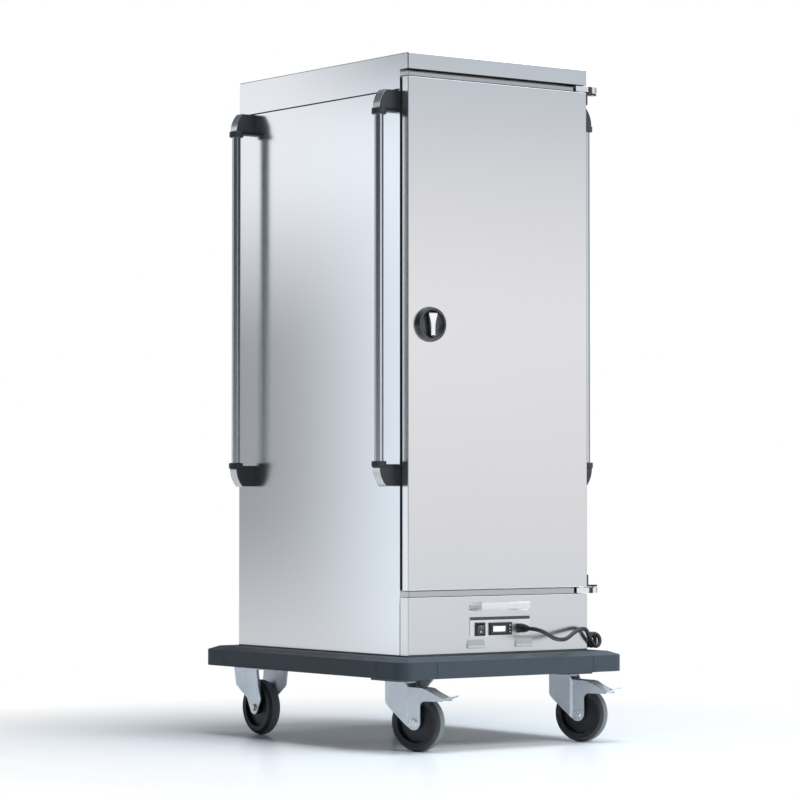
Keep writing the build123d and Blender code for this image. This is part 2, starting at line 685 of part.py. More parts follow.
def louvre(x):
    """Pressed hood, open downwards."""
    z0 = Z_PLINTH_TOP - LOUVRE_DROP - LOUVRE_HEIGHT
    z1 = z0 + LOUVRE_HEIGHT
    lip = z0 + LOUVRE_LIP
    crest = FRONT - LOUVRE_PROUD
    outer = Polyline((FRONT, z1), (crest, lip), (crest + SHEET, z0), (FRONT, z0), close=True)
    inner = Polyline((FRONT + SHEET, z1 - SHEET), (crest + SHEET, lip - SHEET), (crest + 2 * SHEET, z0),
                     (FRONT + SHEET, z0), close=True)
    outer = Plane.YZ * make_face(outer)
    inner = Plane.YZ * make_face(inner)
    hood = extrude(outer, LOUVRE_WIDTH / 2, both=True)
    cavity = extrude(inner, LOUVRE_WIDTH / 2 - SHEET, both=True)
    return Pos(x, 0, 0) * hood, Pos(x, 0, 0) * cavity


def grip_recess(grow):
    """Scooped pocket for the fingers with long sloping ends, enlarged by a wall."""
    z = Z_PLINTH_TOP - RECESS_DROP
    slope = (RECESS_WIDTH - RECESS_FLOOR) / 2 / RECESS_DEPTH
    wall = 2 * grow * math.sqrt(1 + slope * slope)
    height = RECESS_HEIGHT + 2 * grow
    low = height - 2 * RECESS_DRAFT
    mouth = facing(0, FRONT, z) * RectangleRounded(RECESS_WIDTH + wall, height, RECESS_HEIGHT / 3)
    width = RECESS_FLOOR + wall - 2 * slope * grow
    floor = facing(0, FRONT + RECESS_DEPTH + grow, z) * RectangleRounded(width, low, RECESS_HEIGHT / 4)
    return loft([mouth, floor])


def plinth_panel():
    panel = block(-HALF_W, HALF_W, FRONT, FRAME - SEAM, Z_BODY, Z_PLINTH_TOP)
    front_edges = panel.faces().sort_by(Axis.Y)[0].edges()
    panel = fillet(front_edges, EDGE_RADIUS)
    panel -= block(-HALF_W + SHEET, HALF_W - SHEET, FRONT + SHEET, FRAME, Z_BODY, Z_PLINTH_TOP - SHEET)
    panel += grip_recess(SHEET)
    panel -= grip_recess(0)
    low = PANEL_TOP - PANEL_HEIGHT
    lap = 2 * PANEL_SHEET
    edge = PANEL_WIDTH / 2 - lap
    panel -= block(-edge, edge, FRONT, FRONT + SHEET, low + lap, PANEL_TOP - lap)
    for x in (-LOUVRE_SPREAD, LOUVRE_SPREAD):
        hood, cavity = louvre(x)
        panel = panel + hood - cavity
    return panel


def control_panel():
    plate = RectangleRounded(PANEL_WIDTH, PANEL_HEIGHT, EDGE_RADIUS)
    panel = extrude(facing(0, PANEL_FRONT, PANEL_TOP - PANEL_HEIGHT / 2) * plate, PANEL_SHEET)
    lap = 2 * CUTOUT_LAP
    depth = 4 * PANEL_SHEET
    panel -= Pos(SWITCH_X, PANEL_FRONT, CONTROL_Z) * Box(SWITCH_WIDTH - lap, depth, SWITCH_HEIGHT - lap)
    panel -= Pos(0, PANEL_FRONT, CONTROL_Z) * Box(THERMOSTAT_WIDTH - lap, depth, THERMOSTAT_HEIGHT - lap)
    return panel - bar_y(GLAND_X, PANEL_FRONT - PANEL_SHEET, FRONT, CONTROL_Z, GLAND_RADIUS - CUTOUT_LAP)


def switch_housing():
    """Bezel and body of the mains switch, with bearings for the rocker."""
    face = PANEL_FRONT - SWITCH_PROUD
    bezel = block(SWITCH_X - SWITCH_WIDTH / 2, SWITCH_X + SWITCH_WIDTH / 2, face, PANEL_FRONT,
                  CONTROL_Z - SWITCH_HEIGHT / 2, CONTROL_Z + SWITCH_HEIGHT / 2)
    bezel = fillet(bezel.faces().sort_by(Axis.Y)[0].edges(), EDGE_RADIUS)
    width = SWITCH_WIDTH / 2 - CUTOUT_LAP - GAP
    height = SWITCH_HEIGHT / 2 - CUTOUT_LAP - GAP
    bezel += block(SWITCH_X - width, SWITCH_X + width, PANEL_FRONT, FRONT + SWITCH_BODY,
                   CONTROL_Z - height, CONTROL_Z + height)
    mouth = ROCKER_WIDTH / 2 + GAP
    reach = ROCKER_HEIGHT / 2 + EDGE_RADIUS
    bezel -= block(SWITCH_X - mouth, SWITCH_X + mouth, face, PANEL_FRONT + SWITCH_WELL,
                   CONTROL_Z - reach, CONTROL_Z + reach)
    seat = mouth + TRUNNION
    return bezel - bar_x(SWITCH_X - seat, SWITCH_X + seat, PANEL_FRONT, CONTROL_Z, TRUNNION + RUN)


def rocker():
    """Rocker with a hollowed face, tipped to its off side, on two trunnions."""
    half = ROCKER_HEIGHT / 2
    outline = Polyline((-half, 0), (-half, ROCKER_END), (0, ROCKER_MIDDLE), (half, ROCKER_END), (half, 0),
                       (half / 2, -ROCKER_ROOT), (-half / 2, -ROCKER_ROOT), close=True)
    paddle = extrude(make_face(outline), ROCKER_WIDTH / 2, both=True)
    paddle += Cylinder(TRUNNION, ROCKER_WIDTH + 2 * TRUNNION)
    upright = Rot(ROCKER_TILT, 0, 0) * Rot(90, 0, 0) * Rot(0, 90, 0) * Rot(0, 0, 90)
    return Pos(SWITCH_X, PANEL_FRONT, CONTROL_Z) * upright * paddle


def key_heights():
    return [CONTROL_Z + KEY_PITCH, CONTROL_Z, CONTROL_Z - KEY_PITCH]


def thermostat():
    face = PANEL_FRONT - THERMOSTAT_PROUD
    w = THERMOSTAT_WIDTH / 2
    h = THERMOSTAT_HEIGHT / 2
    case = block(-w, w, face, PANEL_FRONT, CONTROL_Z - h, CONTROL_Z + h)
    case = fillet(case.faces().sort_by(Axis.Y)[0].edges(), EDGE_RADIUS)
    lap = CUTOUT_LAP + GAP
    case += block(-w + lap, w - lap, PANEL_FRONT, FRONT + THERMOSTAT_BODY,
                  CONTROL_Z - h + lap, CONTROL_Z + h - lap)
    case -= Pos(WINDOW_X, face, CONTROL_Z) * Box(WINDOW_WIDTH, 2 * EDGE_RADIUS, WINDOW_HEIGHT)
    depth = 2 * (THERMOSTAT_PROUD - KEY_PROUD)
    for z in key_heights():
        case -= Pos(KEY_X, face, z) * Box(KEY_WIDTH + 2 * GAP, depth, KEY_HEIGHT + 2 * GAP)
    return case


def display_window():
    face = PANEL_FRONT - THERMOSTAT_PROUD
    depth = EDGE_RADIUS - GAP
    place = Pos(WINDOW_X, face + EDGE_RADIUS - depth / 2, CONTROL_Z)
    return place * Box(WINDOW_WIDTH, depth, WINDOW_HEIGHT)


def thermostat_key(z):
    face = PANEL_FRONT - THERMOSTAT_PROUD
    key = block(KEY_X - KEY_WIDTH / 2, KEY_X + KEY_WIDTH / 2,
                face - KEY_PROUD, PANEL_FRONT - 2 * KEY_PROUD - GAP,
                z - KEY_HEIGHT / 2, z + KEY_HEIGHT / 2)
    return fillet(key.faces().sort_by(Axis.Y)[0].edges(), KEY_PROUD / 2)


def cord_gland():
    """Gland with a hexagon and a ribbed dome that the flex leaves from."""
    tip = CORD_RADIUS + CUTOUT_LAP
    dome = Polyline((0, 0), (GLAND_RADIUS, 0), (GLAND_RADIUS, GLAND_LENGTH * 0.55),
                    (tip, GLAND_LENGTH - EDGE_RADIUS), (tip - EDGE_RADIUS / 2, GLAND_LENGTH),
                    (0, GLAND_LENGTH), close=True)
    body = revolve(make_face(dome), Axis.Y)
    body += extrude(Plane.XZ * RegularPolygon(GLAND_NUT, 6), -GLAND_NUT_LENGTH)
    body += extrude(Plane.XZ * Circle(GLAND_RADIUS - CUTOUT_LAP), GLAND_TAIL)
    groove = Pos(GLAND_RADIUS, GLAND_LENGTH * 0.4, 0) * Box(1.6, GLAND_LENGTH * 0.3, 2.4)
    for step in range(GLAND_RIBS):
        body -= Rot(0, step * 360 / GLAND_RIBS, 0) * groove
    return Pos(GLAND_X, PANEL_FRONT, CONTROL_Z) * Rot(0, 0, 180) * body


# Heater under the cavity floor

def heater_tray():
    z0 = Z_BODY + BASE_INSULATION
    w = HEATER_WIDTH / 2
    d = HEATER_LENGTH / 2
    tray = block(-w, w, -d, d, z0, z0 + HEATER_HEIGHT)
    tray -= block(-w + SHEET, w - SHEET, -d + SHEET, d - SHEET, z0 + SHEET, z0 + HEATER_HEIGHT)
    for y in (-d * 2 / 3, d * 2 / 3):
        tray += block(-w, w, y - SHEET, y + SHEET, z0, z0 + HEATER_HEIGHT / 2 - ELEMENT_RADIUS)
    return tray


def heating_element():
    """Tubular element laid to and fro on the tray's two bearers."""
    z = Z_BODY + BASE_INSULATION + HEATER_HEIGHT / 2
    d = HEATER_LENGTH / 2 - ELEMENT_PITCH
    path = []
    for leg in range(ELEMENT_LEGS):
        x = (leg - (ELEMENT_LEGS - 1) / 2) * ELEMENT_PITCH
        way = 1 if leg % 2 == 0 else -1
        path.append(Line((x, -way * d, z), (x, way * d, z)))
        if leg < ELEMENT_LEGS - 1:
            bend = (x + ELEMENT_PITCH / 2, way * (d + ELEMENT_PITCH / 2), z)
            path.append(ThreePointArc((x, way * d, z), bend, (x + ELEMENT_PITCH, way * d, z)))
    first = path[0]
    section = Plane(origin=first @ 0, z_dir=first % 0) * Circle(ELEMENT_RADIUS)
    return sweep(section, path=Wire(path))


# Castors, each made about its own swivel axis with the wheel trailing towards +X

LEG_IN = FORK_GAP / 2
HOUSING_TOP = CASTOR_HEIGHT - PLATE_SHEET - RACE_DROP
DECK_TOP = HOUSING_TOP - FORK_STEP
RACE_TOP = HOUSING_TOP + RACE_HEIGHT


def swivel_place(side):
    """Front castor as photographed: turned with the trailing side to the front and right."""
    return Pos(side * SWIVEL_X, -SWIVEL_Y, 0) * Rot(0, 0, SWIVEL_TURN - 90)


def castor_plate():
    """Top plate with the upper race and the king pin."""
    top = CASTOR_HEIGHT
    outline = RectangleRounded(PLATE_LENGTH, PLATE_WIDTH, PLATE_ROUND)
    plate = Pos(0, 0, top - PLATE_SHEET) * extrude(outline, PLATE_SHEET)
    plate += post(0, 0, RACE_TOP + GAP, top - PLATE_SHEET, RACE_RADIUS + DECK_SHEET)
    low = HOUSING_TOP - DECK_SHEET
    plate += post(0, 0, low - KING_DROP, top, KING_PIN)
    return plate + post(0, 0, low - KING_DROP, low - GAP, KING_NUT)


def fork_outline():
    """Side view of a swivel fork: tall housing, taper to the axle and a wing over the wheel."""
    eye = TRAIL + AXLE_EYE
    crease = TRAIL - AXLE_EYE
    slant = AXLE_EYE * math.sqrt(0.5)
    tip = TRAIL + WING_REACH
    wing = DECK_TOP - WING_DROP
    low = wing - WING_WIDTH
    shoulder = (-FORK_BACK, DECK_TOP - FORK_SHOULDER)
    outline = make_face(Polyline((-FORK_BACK, HOUSING_TOP), (crease - DECK_SHEET, HOUSING_TOP),
                                 (crease + DECK_SHEET, DECK_TOP),
                                 (eye + AXLE_EYE / 2, DECK_TOP - EDGE_RADIUS),
                                 (tip, wing), (tip, low), (eye, low), (eye, WHEEL_RADIUS),
                                 (TRAIL - slant, WHEEL_RADIUS - slant), shoulder, close=True))
    outline = fillet(outline.vertices().sort_by_distance((eye, low, 0))[0], WING_ROUND)
    outline = fillet(outline.vertices().sort_by_distance((*shoulder, 0))[0], SHOULDER_ROUND)
    return outline + Pos(TRAIL, WHEEL_RADIUS) * Circle(AXLE_EYE)


def housing_plan(shrink):
    """Plan of the housing round the king pin, with a round back and straight sides."""
    wide = LEG_IN + FORK_JOGGLE + FORK_SHEET - shrink
    reach = TRAIL + FORK_BACK - shrink
    plan = Pos(TRAIL, 0) * RectangleRounded(2 * reach, 2 * wide, HOUSING_ROUND - shrink)
    front = TRAIL - AXLE_EYE - DECK_SHEET
    return plan & Pos(front, 0) * Rectangle(2 * reach, 4 * wide, align=(Align.MAX, Align.CENTER))


def leg_plan():
    """Plan of one leg in front of the crease, joggled in from the housing."""
    crease = TRAIL - AXLE_EYE
    out = LEG_IN + FORK_JOGGLE
    far = TRAIL + WING_REACH
    bend = DECK_SHEET
    skew = FORK_SHEET * 0.43
    return make_face(Polyline((crease - bend, out), (crease + bend, LEG_IN), (far, LEG_IN),
                              (far, LEG_IN + FORK_SHEET), (crease + bend + skew, LEG_IN + FORK_SHEET),
                              (crease - bend + skew, out + FORK_SHEET), (crease - bend, out + FORK_SHEET),
                              close=True))


def swivel_fork():
    """Pressed fork: a housing under the top plate that runs into two legs."""
    leg = extrude(leg_plan(), CASTOR_HEIGHT)
    fork = extrude(housing_plan(0) - housing_plan(FORK_SHEET), CASTOR_HEIGHT)
    fork += leg
    fork += mirror(leg, about=Plane.XZ)
    fork &= extrude(Plane.XZ * fork_outline(), FORK_GAP, both=True)
    fork -= bar_y(TRAIL, -FORK_GAP, FORK_GAP, WHEEL_RADIUS, AXLE_RADIUS)
    fork += Pos(0, 0, HOUSING_TOP - DECK_SHEET) * extrude(housing_plan(0), DECK_SHEET)
    fork += post(0, 0, HOUSING_TOP, RACE_TOP, RACE_RADIUS)
    fork -= post(0, 0, 0, CASTOR_HEIGHT, KING_PIN + RUN)
    return fork - bar_y(pedal_pin()[0], -FORK_GAP, FORK_GAP, pedal_pin()[1], PEDAL_PIN + RUN)


def fixed_leg():
    """Leg of a rigid fork: splayed towards the top, with an edge flared outwards at each side."""
    top = CASTOR_HEIGHT - PLATE_SHEET
    flared = FIXED_HALF + FIXED_FLARE
    high = LEG_IN + FIXED_SPLAY
    section = make_face(Polyline((LEG_IN, 0), (LEG_IN, FIXED_BEND), (high, top), (high + FORK_SHEET, top),
                                 (LEG_IN + FORK_SHEET, FIXED_BEND), (LEG_IN + FORK_SHEET, 0), close=True))
    leg = extrude(Plane.YZ * section, FIXED_HALF, both=True)
    slope = FIXED_FLARE * math.sqrt(2)
    for side in (-1, 1):
        leg += Pos(side * FIXED_HALF, 0, 0) * extrude(Plane.YZ * section, slope, dir=(side, 1, 0))
    slant = AXLE_EYE * 0.8
    low = WHEEL_RADIUS - AXLE_EYE * 0.6
    shoulder = top - FIXED_SHOULDER
    outline = make_face(Polyline((-flared, top), (flared, top), (flared, shoulder), (slant, low),
                                 (-slant, low), (-flared, shoulder), close=True))
    outline += Pos(0, WHEEL_RADIUS) * Circle(AXLE_EYE)
    return leg & extrude(Plane.XZ * outline, 2 * FORK_GAP, both=True)


def fixed_fork():
    """Rigid fork: top plate and two flared legs."""
    leg = fixed_leg()
    fork = leg + mirror(leg, about=Plane.XZ)
    plate = RectangleRounded(PLATE_LENGTH, PLATE_WIDTH, PLATE_ROUND)
    fork += Pos(0, 0, CASTOR_HEIGHT - PLATE_SHEET) * extrude(plate, PLATE_SHEET)
    return fork - bar_y(0, -FORK_GAP, FORK_GAP, WHEEL_RADIUS, AXLE_RADIUS)


def axle():
    """Axle bolt with head and nut outside the fork legs, at the local origin along Y."""
    outside = LEG_IN + FORK_SHEET
    bolt = bar_y(0, -outside, outside, 0, AXLE_RADIUS)
    head = extrude(Plane.XZ * RegularPolygon(AXLE_RADIUS * 1.8, 6), AXLE_HEAD)
    bolt += Pos(0, -outside, 0) * head
    return bolt + Pos(0, outside + AXLE_HEAD, 0) * head


def wheel_rim():
    """Dished plastic rim with a long hub, about its own centre."""
    hub = LEG_IN - GAP
    half = TYRE_WIDTH / 2 - EDGE_RADIUS
    bore = AXLE_RADIUS + RUN
    lip = RIM_RADIUS - RIM_LIP
    web = RIM_RADIUS - RIM_LIP * 1.5
    foot = HUB_RADIUS + EDGE_RADIUS
    thin = WEB_HALF * 2 / 3
    profile = Polyline((bore, -hub), (HUB_RADIUS, -hub), (foot, -WEB_HALF), (web, -thin), (lip, -half),
                       (RIM_RADIUS, -half), (RIM_RADIUS, half), (lip, half), (web, thin),
                       (foot, WEB_HALF), (HUB_RADIUS, hub), (bore, hub), close=True)
    return revolve(make_face(profile), Axis.Y)


def wheel_tyre():
    """Tyre with a crowned tread."""
    half = TYRE_WIDTH / 2
    side = RIM_RADIUS + RIM_LIP
    crown = ThreePointArc((side, -half), (WHEEL_RADIUS, 0), (side, half))
    seat = half - EDGE_RADIUS
    rest = Polyline((side, half), (RIM_RADIUS, seat), (RIM_RADIUS, -seat), (side, -half))
    return revolve(make_face(crown + rest), Axis.Y)


def pedal_pin():
    """Pedal pivot in the castor's own (x, z)."""
    return TRAIL - 11, DECK_TOP - 9


def brake_pedal():
    """Stamped lock pedal with a foot lip, a brake shoe and its pivot."""
    x, z = pedal_pin()
    top = DECK_TOP - 3
    tail = TRAIL - AXLE_EYE
    knee = TRAIL + PEDAL_KNEE
    toe = TRAIL + PEDAL_TOE
    tip = toe + PEDAL_LIP
    low = top - PEDAL_DROP
    t = PEDAL_SHEET
    points = [(tail, top), (knee, top), (toe, low), (tip, low + PEDAL_RISE), (tip, low + PEDAL_RISE - t),
              (toe, low - t), (knee - t / 2, top - t), (tail, top - t)]
    pedal = side_profile(points, -PEDAL_WIDTH / 2, PEDAL_WIDTH / 2)
    pedal = fillet(pedal.faces().sort_by(Axis.X)[-1].edges().filter_by(Axis.Z), PEDAL_CORNER)
    pedal += bar_y(x, -PEDAL_WIDTH / 2, PEDAL_WIDTH / 2, z, PEDAL_PIN + 2)
    pedal += bar_y(x, -LEG_IN - FORK_SHEET, LEG_IN + FORK_SHEET, z, PEDAL_PIN)
    shoe = block(TRAIL + 5, TRAIL + 20, -TYRE_WIDTH / 3, TYRE_WIDTH / 3, 2 * WHEEL_RADIUS + GAP, top)
    return pedal + shoe


# Mains lead

def curl_frame():
    """Origin, axis and upright direction of the curly stretch, which leans to the ledge."""
    length = CURL_TURNS * CURL_PITCH
    lean = math.asin(CURL_LIFT / length)
    origin = Vector(CURL_X, CURL_Y, Z_LEDGE + FLOAT + CORD_RADIUS + CURL_RADIUS + CURL_LIFT)
    axis = Vector(0, math.cos(lean), -math.sin(lean))
    rise = Vector(0, math.sin(lean), math.cos(lean))
    return origin, axis, rise


def curl_point(turn):
    """Centre of the flex after a number of turns."""
    origin, axis, rise = curl_frame()
    angle = math.radians(CURL_FROM) + 2 * math.pi * turn
    ring = Vector(1, 0, 0) * math.cos(angle) + rise * math.sin(angle)
    return origin + axis * (CURL_PITCH * turn) + ring * CURL_RADIUS


def curl_heading(turn):
    """Unit tangent of the flex after a number of turns."""
    origin, axis, rise = curl_frame()
    angle = math.radians(CURL_FROM) + 2 * math.pi * turn
    round_way = rise * math.cos(angle) - Vector(1, 0, 0) * math.sin(angle)
    return (axis * CURL_PITCH + round_way * (2 * math.pi * CURL_RADIUS)).normalized()


def biarc(start, heading, end, end_heading):
    """Two tangent arcs from one point and heading to another."""
    chord = end - start
    both = heading + end_heading
    a = 4 - both.dot(both)
    b = 2 * chord.dot(both)
    c = -chord.dot(chord)
    reach = (-b + math.sqrt(b * b - 4 * a * c)) / (2 * a)
    joint = (start + heading * reach + end - end_heading * reach) / 2
    first = TangentArc(start, joint, tangent=heading)
    return [first, TangentArc(joint, end, tangent=first % 1)]


def corner_radii(points):
    """Largest arc that the runs beside each corner allow."""
    radii = []
    for before, corner, after in zip(points, points[1:], points[2:]):
        turn = math.radians((corner - before).get_angle(after - corner))
        run = min((corner - before).length, (after - corner).length)
        radii.append(0.45 * run / math.tan(turn / 2))
    return radii


def flex(path):
    """Round tube of the flex along a path."""
    section = Plane(origin=path @ 0, z_dir=path % 0) * Circle(CORD_RADIUS)
    return sweep(section, path=path)


def free_flex(name, points):
    """Free stretch through a list of points; prints its radii and its volume ratio."""
    radii = corner_radii(points)
    path = FilletPolyline(*points, radius=radii)
    tube = flex(path)
    ratio = tube.volume / (math.pi * CORD_RADIUS ** 2 * path.length)
    print(name, "length", round(path.length), "radii", [round(r) for r in radii])
    print(name, "volume ratio", round(ratio, 4))
    return tube


def curly_flex():
    """Curly stretch: one tube on biarcs of a quarter turn, with a straight lead at each end."""
    steps = 4 * CURL_TURNS
    end_turn = CURL_TURNS + (270.0 - CURL_FROM) / 360.0
    turns = [step / 4 for step in range(steps + 1)] + [end_turn]
    edges = [Line(curl_point(0) - curl_heading(0) * CORD_RADIUS, curl_point(0))]
    for now, then in zip(turns, turns[1:]):
        edges += biarc(curl_point(now), curl_heading(now), curl_point(then), curl_heading(then))
    tail = curl_point(end_turn)
    edges.append(Line(tail, tail + curl_heading(end_turn) * CORD_RADIUS))
    path = Wire(edges)
    samples = [curl_point(step / 36) for step in range(36 * CURL_TURNS)]
    near = [(p - q).length for i, p in enumerate(samples) for q in samples[i + 18:i + 54]]
    tube = flex(path)
    ratio = tube.volume / (math.pi * CORD_RADIUS ** 2 * path.length)
    print("curl length", round(path.length), "least gap", round(min(near) - 2 * CORD_RADIUS, 2),
          "volume ratio", round(ratio, 4))
    return tube, path @ 0, path % 0, path @ 1, path % 1


# Lead from the gland's tip, and tail from the end of the curl along the ledge
LEAD_ROUTE = [(0, 0, 0), (0, -17.5, 0), (7, -33.5, -2), (19.5, -45.5, -8), (35, -50, -17),
              (56.5, -46.5, -27.5), (83.5, -39.5, -32), (112, -28, -32), (139, -13.5, -25.5),
              (164, 1, -17.5), (188.5, 12.5, -10.5), (212, 20, -5.5), (232.5, 24, -10.5)]
TAIL_ROUTE = [(59, 10, 5), (68.5, 21.5, 4.5), (73.5, 35.5, 4), (74.5, 53.5, 4.5), (71, 76.5, 7),
              (61, 101, 11.5), (48, 127, 16.5), (39, 149, 19), (36, 168, 19.5), (36, 185, 19.5)]


def lead_points(start):
    """Route of the lead, drawn out to the place where the curl starts."""
    stretch = (start.X - GLAND_X) / LEAD_SPAN
    return [Vector(GLAND_X + x * stretch, GLAND_TIP + y, CONTROL_Z + z) for x, y, z in LEAD_ROUTE]


def tail_points():
    """Route of the tail beside the cabinet."""
    along = CURL_Y + CURL_PITCH * (CURL_TURNS + 0.2)
    return [Vector(HALF_W + x, along + y, Z_LEDGE + z) for x, y, z in TAIL_ROUTE]


def plug():
    """Moulded plug that lies on the bumper ledge, with flats at its sides, and its two pins."""
    x, y, z = tail_points()[-1]
    neck = CORD_RADIUS + 2
    cone = PLUG_LENGTH * 0.45
    back = PLUG_LENGTH * 0.8
    tip = back + PLUG_LENGTH
    outline = Polyline((0, 0), (neck, 0), (neck + 2, cone), (PLUG_RADIUS - 5, cone + 2),
                       (PLUG_RADIUS, back), (PLUG_RADIUS, tip - 2), (PLUG_RADIUS - 2, tip),
                       (0, tip), close=True)
    body = revolve(make_face(outline), Axis.Y)
    for side in (-1, 1):
        body -= Pos(side * PLUG_RADIUS, tip - 8, 0) * Box(8, 20, 8)
    pins = []
    for side in (-1, 1):
        pin = bar_y(side * PIN_SPREAD / 2, tip - PIN_SEAT, tip + PIN_LENGTH, 0, PIN_RADIUS)
        body -= pin
        pins.append(Pos(x, y, z) * Rot(0, PLUG_ROLL, 0) * pin)
    return Pos(x, y, z) * Rot(0, PLUG_ROLL, 0) * body, pins


def mains_lead():
    """Free lead from the gland, curly stretch on the ledge and free tail to the plug."""
    curl, start, start_way, end, end_way = curly_flex()
    lead = free_flex("lead", lead_points(start) + [start - start_way * LEAD_RUN, start])
    tail = free_flex("tail", [end, end + end_way * TAIL_RUN] + tail_points())
    return lead, curl, tail


def main():
    os.makedirs("parts", exist_ok=True)
    save("chassis", chassis())
    straight, corners = bumper_pieces()
    save("bumper_profiles", straight)
    save("bumper_corners", corners)
    save("side_panels", side_panels())
    save("rear_panel", rear_panel())
    save("top_cover", top_cover())
    save("front_frame", front_frame())
    save("gap_rails", gap_rails())
    save("plinth_panel", plinth_panel())
    save("liner_walls", liner())
    save("insulation", insulation())
    uprights, runners = racks()
    save("rack_uprights", uprights)
    save("tray_runners", runners)
    save("hinge_arms", hinge_arms())
    save("latch_keeper", latch_keeper())
    tubes, holders, trims = push_handles()
    save("handle_tubes", tubes)
    save("handle_brackets", holders)
    save("handle_trims", trims)
    save("control_panel", control_panel())
    save("switch_housing", switch_housing())
    save("thermostat", thermostat())
    save("display_window", display_window())
    save("cord_gland", cord_gland())
    save("heater_tray", heater_tray())
    save("heating_element", heating_element())
    save("door_skin", door_skin())
    save("door_core", door_core())
    save("door_liner", door_liner())
    save("door_gasket", door_gasket())
    save("door_brackets", door_brackets())
    save("latch_rosette", latch_rosette())
    save("latch_grip", latch_grip())
    save("latch_spindle", latch_spindle())
    save("switch_rocker", rocker())
    for name, z in zip(("key_set", "key_up", "key_down"), key_heights()):
        save(name, thermostat_key(z))
    quarter = Rot(0, 0, 90)
    save("castor_plates", mirrored(Pos(SWIVEL_X, -SWIVEL_Y, 0) * quarter * castor_plate()))
    save("fixed_forks", mirrored(Pos(FIXED_X, FIXED_Y, 0) * quarter * fixed_fork()))
    save("fixed_axles", mirrored(Pos(FIXED_X, FIXED_Y, WHEEL_RADIUS) * quarter * axle()))
    for side, word in ((-1, "left"), (1, "right")):
        spot = swivel_place(side)
        hub = spot * Pos(TRAIL, 0, WHEEL_RADIUS)
        save("swivel_fork_" + word, spot * swivel_fork())
        save("swivel_axle_" + word, hub * axle())
        save("front_rim_" + word, hub * wheel_rim())
        save("front_tyre_" + word, hub * wheel_tyre())
        save("brake_pedal_" + word, spot * brake_pedal())
        rear = Pos(side * FIXED_X, FIXED_Y, WHEEL_RADIUS) * Rot(0, 0, 90)
        save("rear_rim_" + word, rear * wheel_rim())
        save("rear_tyre_" + word, rear * wheel_tyre())
    lead, curl, tail = mains_lead()
    save("cord_lead", lead)
    save("cord_coil", curl)
    save("cord_tail", tail)
    plug_body, plug_pins = plug()
    save("mains_plug", plug_body)
    save("plug_pins", plug_pins)


main()
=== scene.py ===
import math

import bmesh
import bpy
from mathutils import Matrix, Vector


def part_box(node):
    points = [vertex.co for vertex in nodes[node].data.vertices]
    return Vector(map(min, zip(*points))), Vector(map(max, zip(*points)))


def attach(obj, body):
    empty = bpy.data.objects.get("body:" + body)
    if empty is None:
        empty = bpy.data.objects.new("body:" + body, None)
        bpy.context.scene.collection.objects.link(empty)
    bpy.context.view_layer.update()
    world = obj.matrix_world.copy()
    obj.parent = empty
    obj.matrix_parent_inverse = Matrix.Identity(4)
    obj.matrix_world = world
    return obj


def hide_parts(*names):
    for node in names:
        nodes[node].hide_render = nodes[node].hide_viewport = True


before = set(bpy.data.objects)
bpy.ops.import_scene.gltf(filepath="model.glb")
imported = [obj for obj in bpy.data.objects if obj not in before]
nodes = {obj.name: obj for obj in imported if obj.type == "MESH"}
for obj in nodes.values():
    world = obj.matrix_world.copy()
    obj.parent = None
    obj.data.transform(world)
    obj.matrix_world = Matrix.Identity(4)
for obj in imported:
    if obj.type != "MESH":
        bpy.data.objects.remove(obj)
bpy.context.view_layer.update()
scene = bpy.context.scene

X, Y, Z = range(3)
SIDES = (-1, 1)
TO_FRONT = (0, -1, 0)
TO_REAR = (0, 1, 0)
DOWN = (0, 0, -1)


# Node helpers

def node(tree, kind, **values):
    """New shader node with some of its properties or sockets set."""
    made = tree.nodes.new(kind)
    for key, value in values.items():
        if key in made.inputs:
            made.inputs[key].default_value = value
        else:
            setattr(made, key, value)
    return made


def material(name, color, metallic=0.0, roughness=0.5, **sockets):
    """Principled material; returns it with its tree and shader."""
    made = bpy.data.materials.new(name)
    made.use_nodes = True
    shader = made.node_tree.nodes["Principled BSDF"]
    shader.inputs["Base Color"].default_value = (*color, 1.0)
    shader.inputs["Metallic"].default_value = metallic
    shader.inputs["Roughness"].default_value = roughness
    for key, value in sockets.items():
        shader.inputs[key.replace("_", " ")].default_value = value
    made.diffuse_color = (*color, 1.0)
    return made, made.node_tree, shader


def coordinates(tree, scale):
    """Row-frame coordinates in metres times a scale for each axis."""
    source = node(tree, "ShaderNodeTexCoord")
    mapping = node(tree, "ShaderNodeMapping", Scale=scale)
    tree.links.new(source.outputs["Object"], mapping.inputs["Vector"])
    return mapping.outputs["Vector"]


def noise(tree, scale, detail, roughness):
    """Noise over the row frame."""
    texture = node(tree, "ShaderNodeTexNoise", Scale=1.0, Detail=detail, Roughness=roughness)
    tree.links.new(coordinates(tree, scale), texture.inputs["Vector"])
    return texture.outputs["Fac"]


def spread(tree, value, low, high, start=0.25, end=0.75):
    """Value mapped from the range between start and end to low and high."""
    ranged = node(tree, "ShaderNodeMapRange")
    ranged.inputs["From Min"].default_value = start
    ranged.inputs["From Max"].default_value = end
    ranged.inputs["To Min"].default_value = low
    ranged.inputs["To Max"].default_value = high
    tree.links.new(value, ranged.inputs["Value"])
    return ranged.outputs["Result"]


def tint(tree, value, dark, light):
    """Colour between two by a value."""
    mix = node(tree, "ShaderNodeMix", data_type="RGBA")
    ends = {"A": dark, "B": light}
    for socket in mix.inputs:
        if socket.name in ends and socket.type == "RGBA":
            socket.default_value = (*ends[socket.name], 1.0)
    tree.links.new(value, mix.inputs["Factor"])
    return [socket for socket in mix.outputs if socket.type == "RGBA"][0]


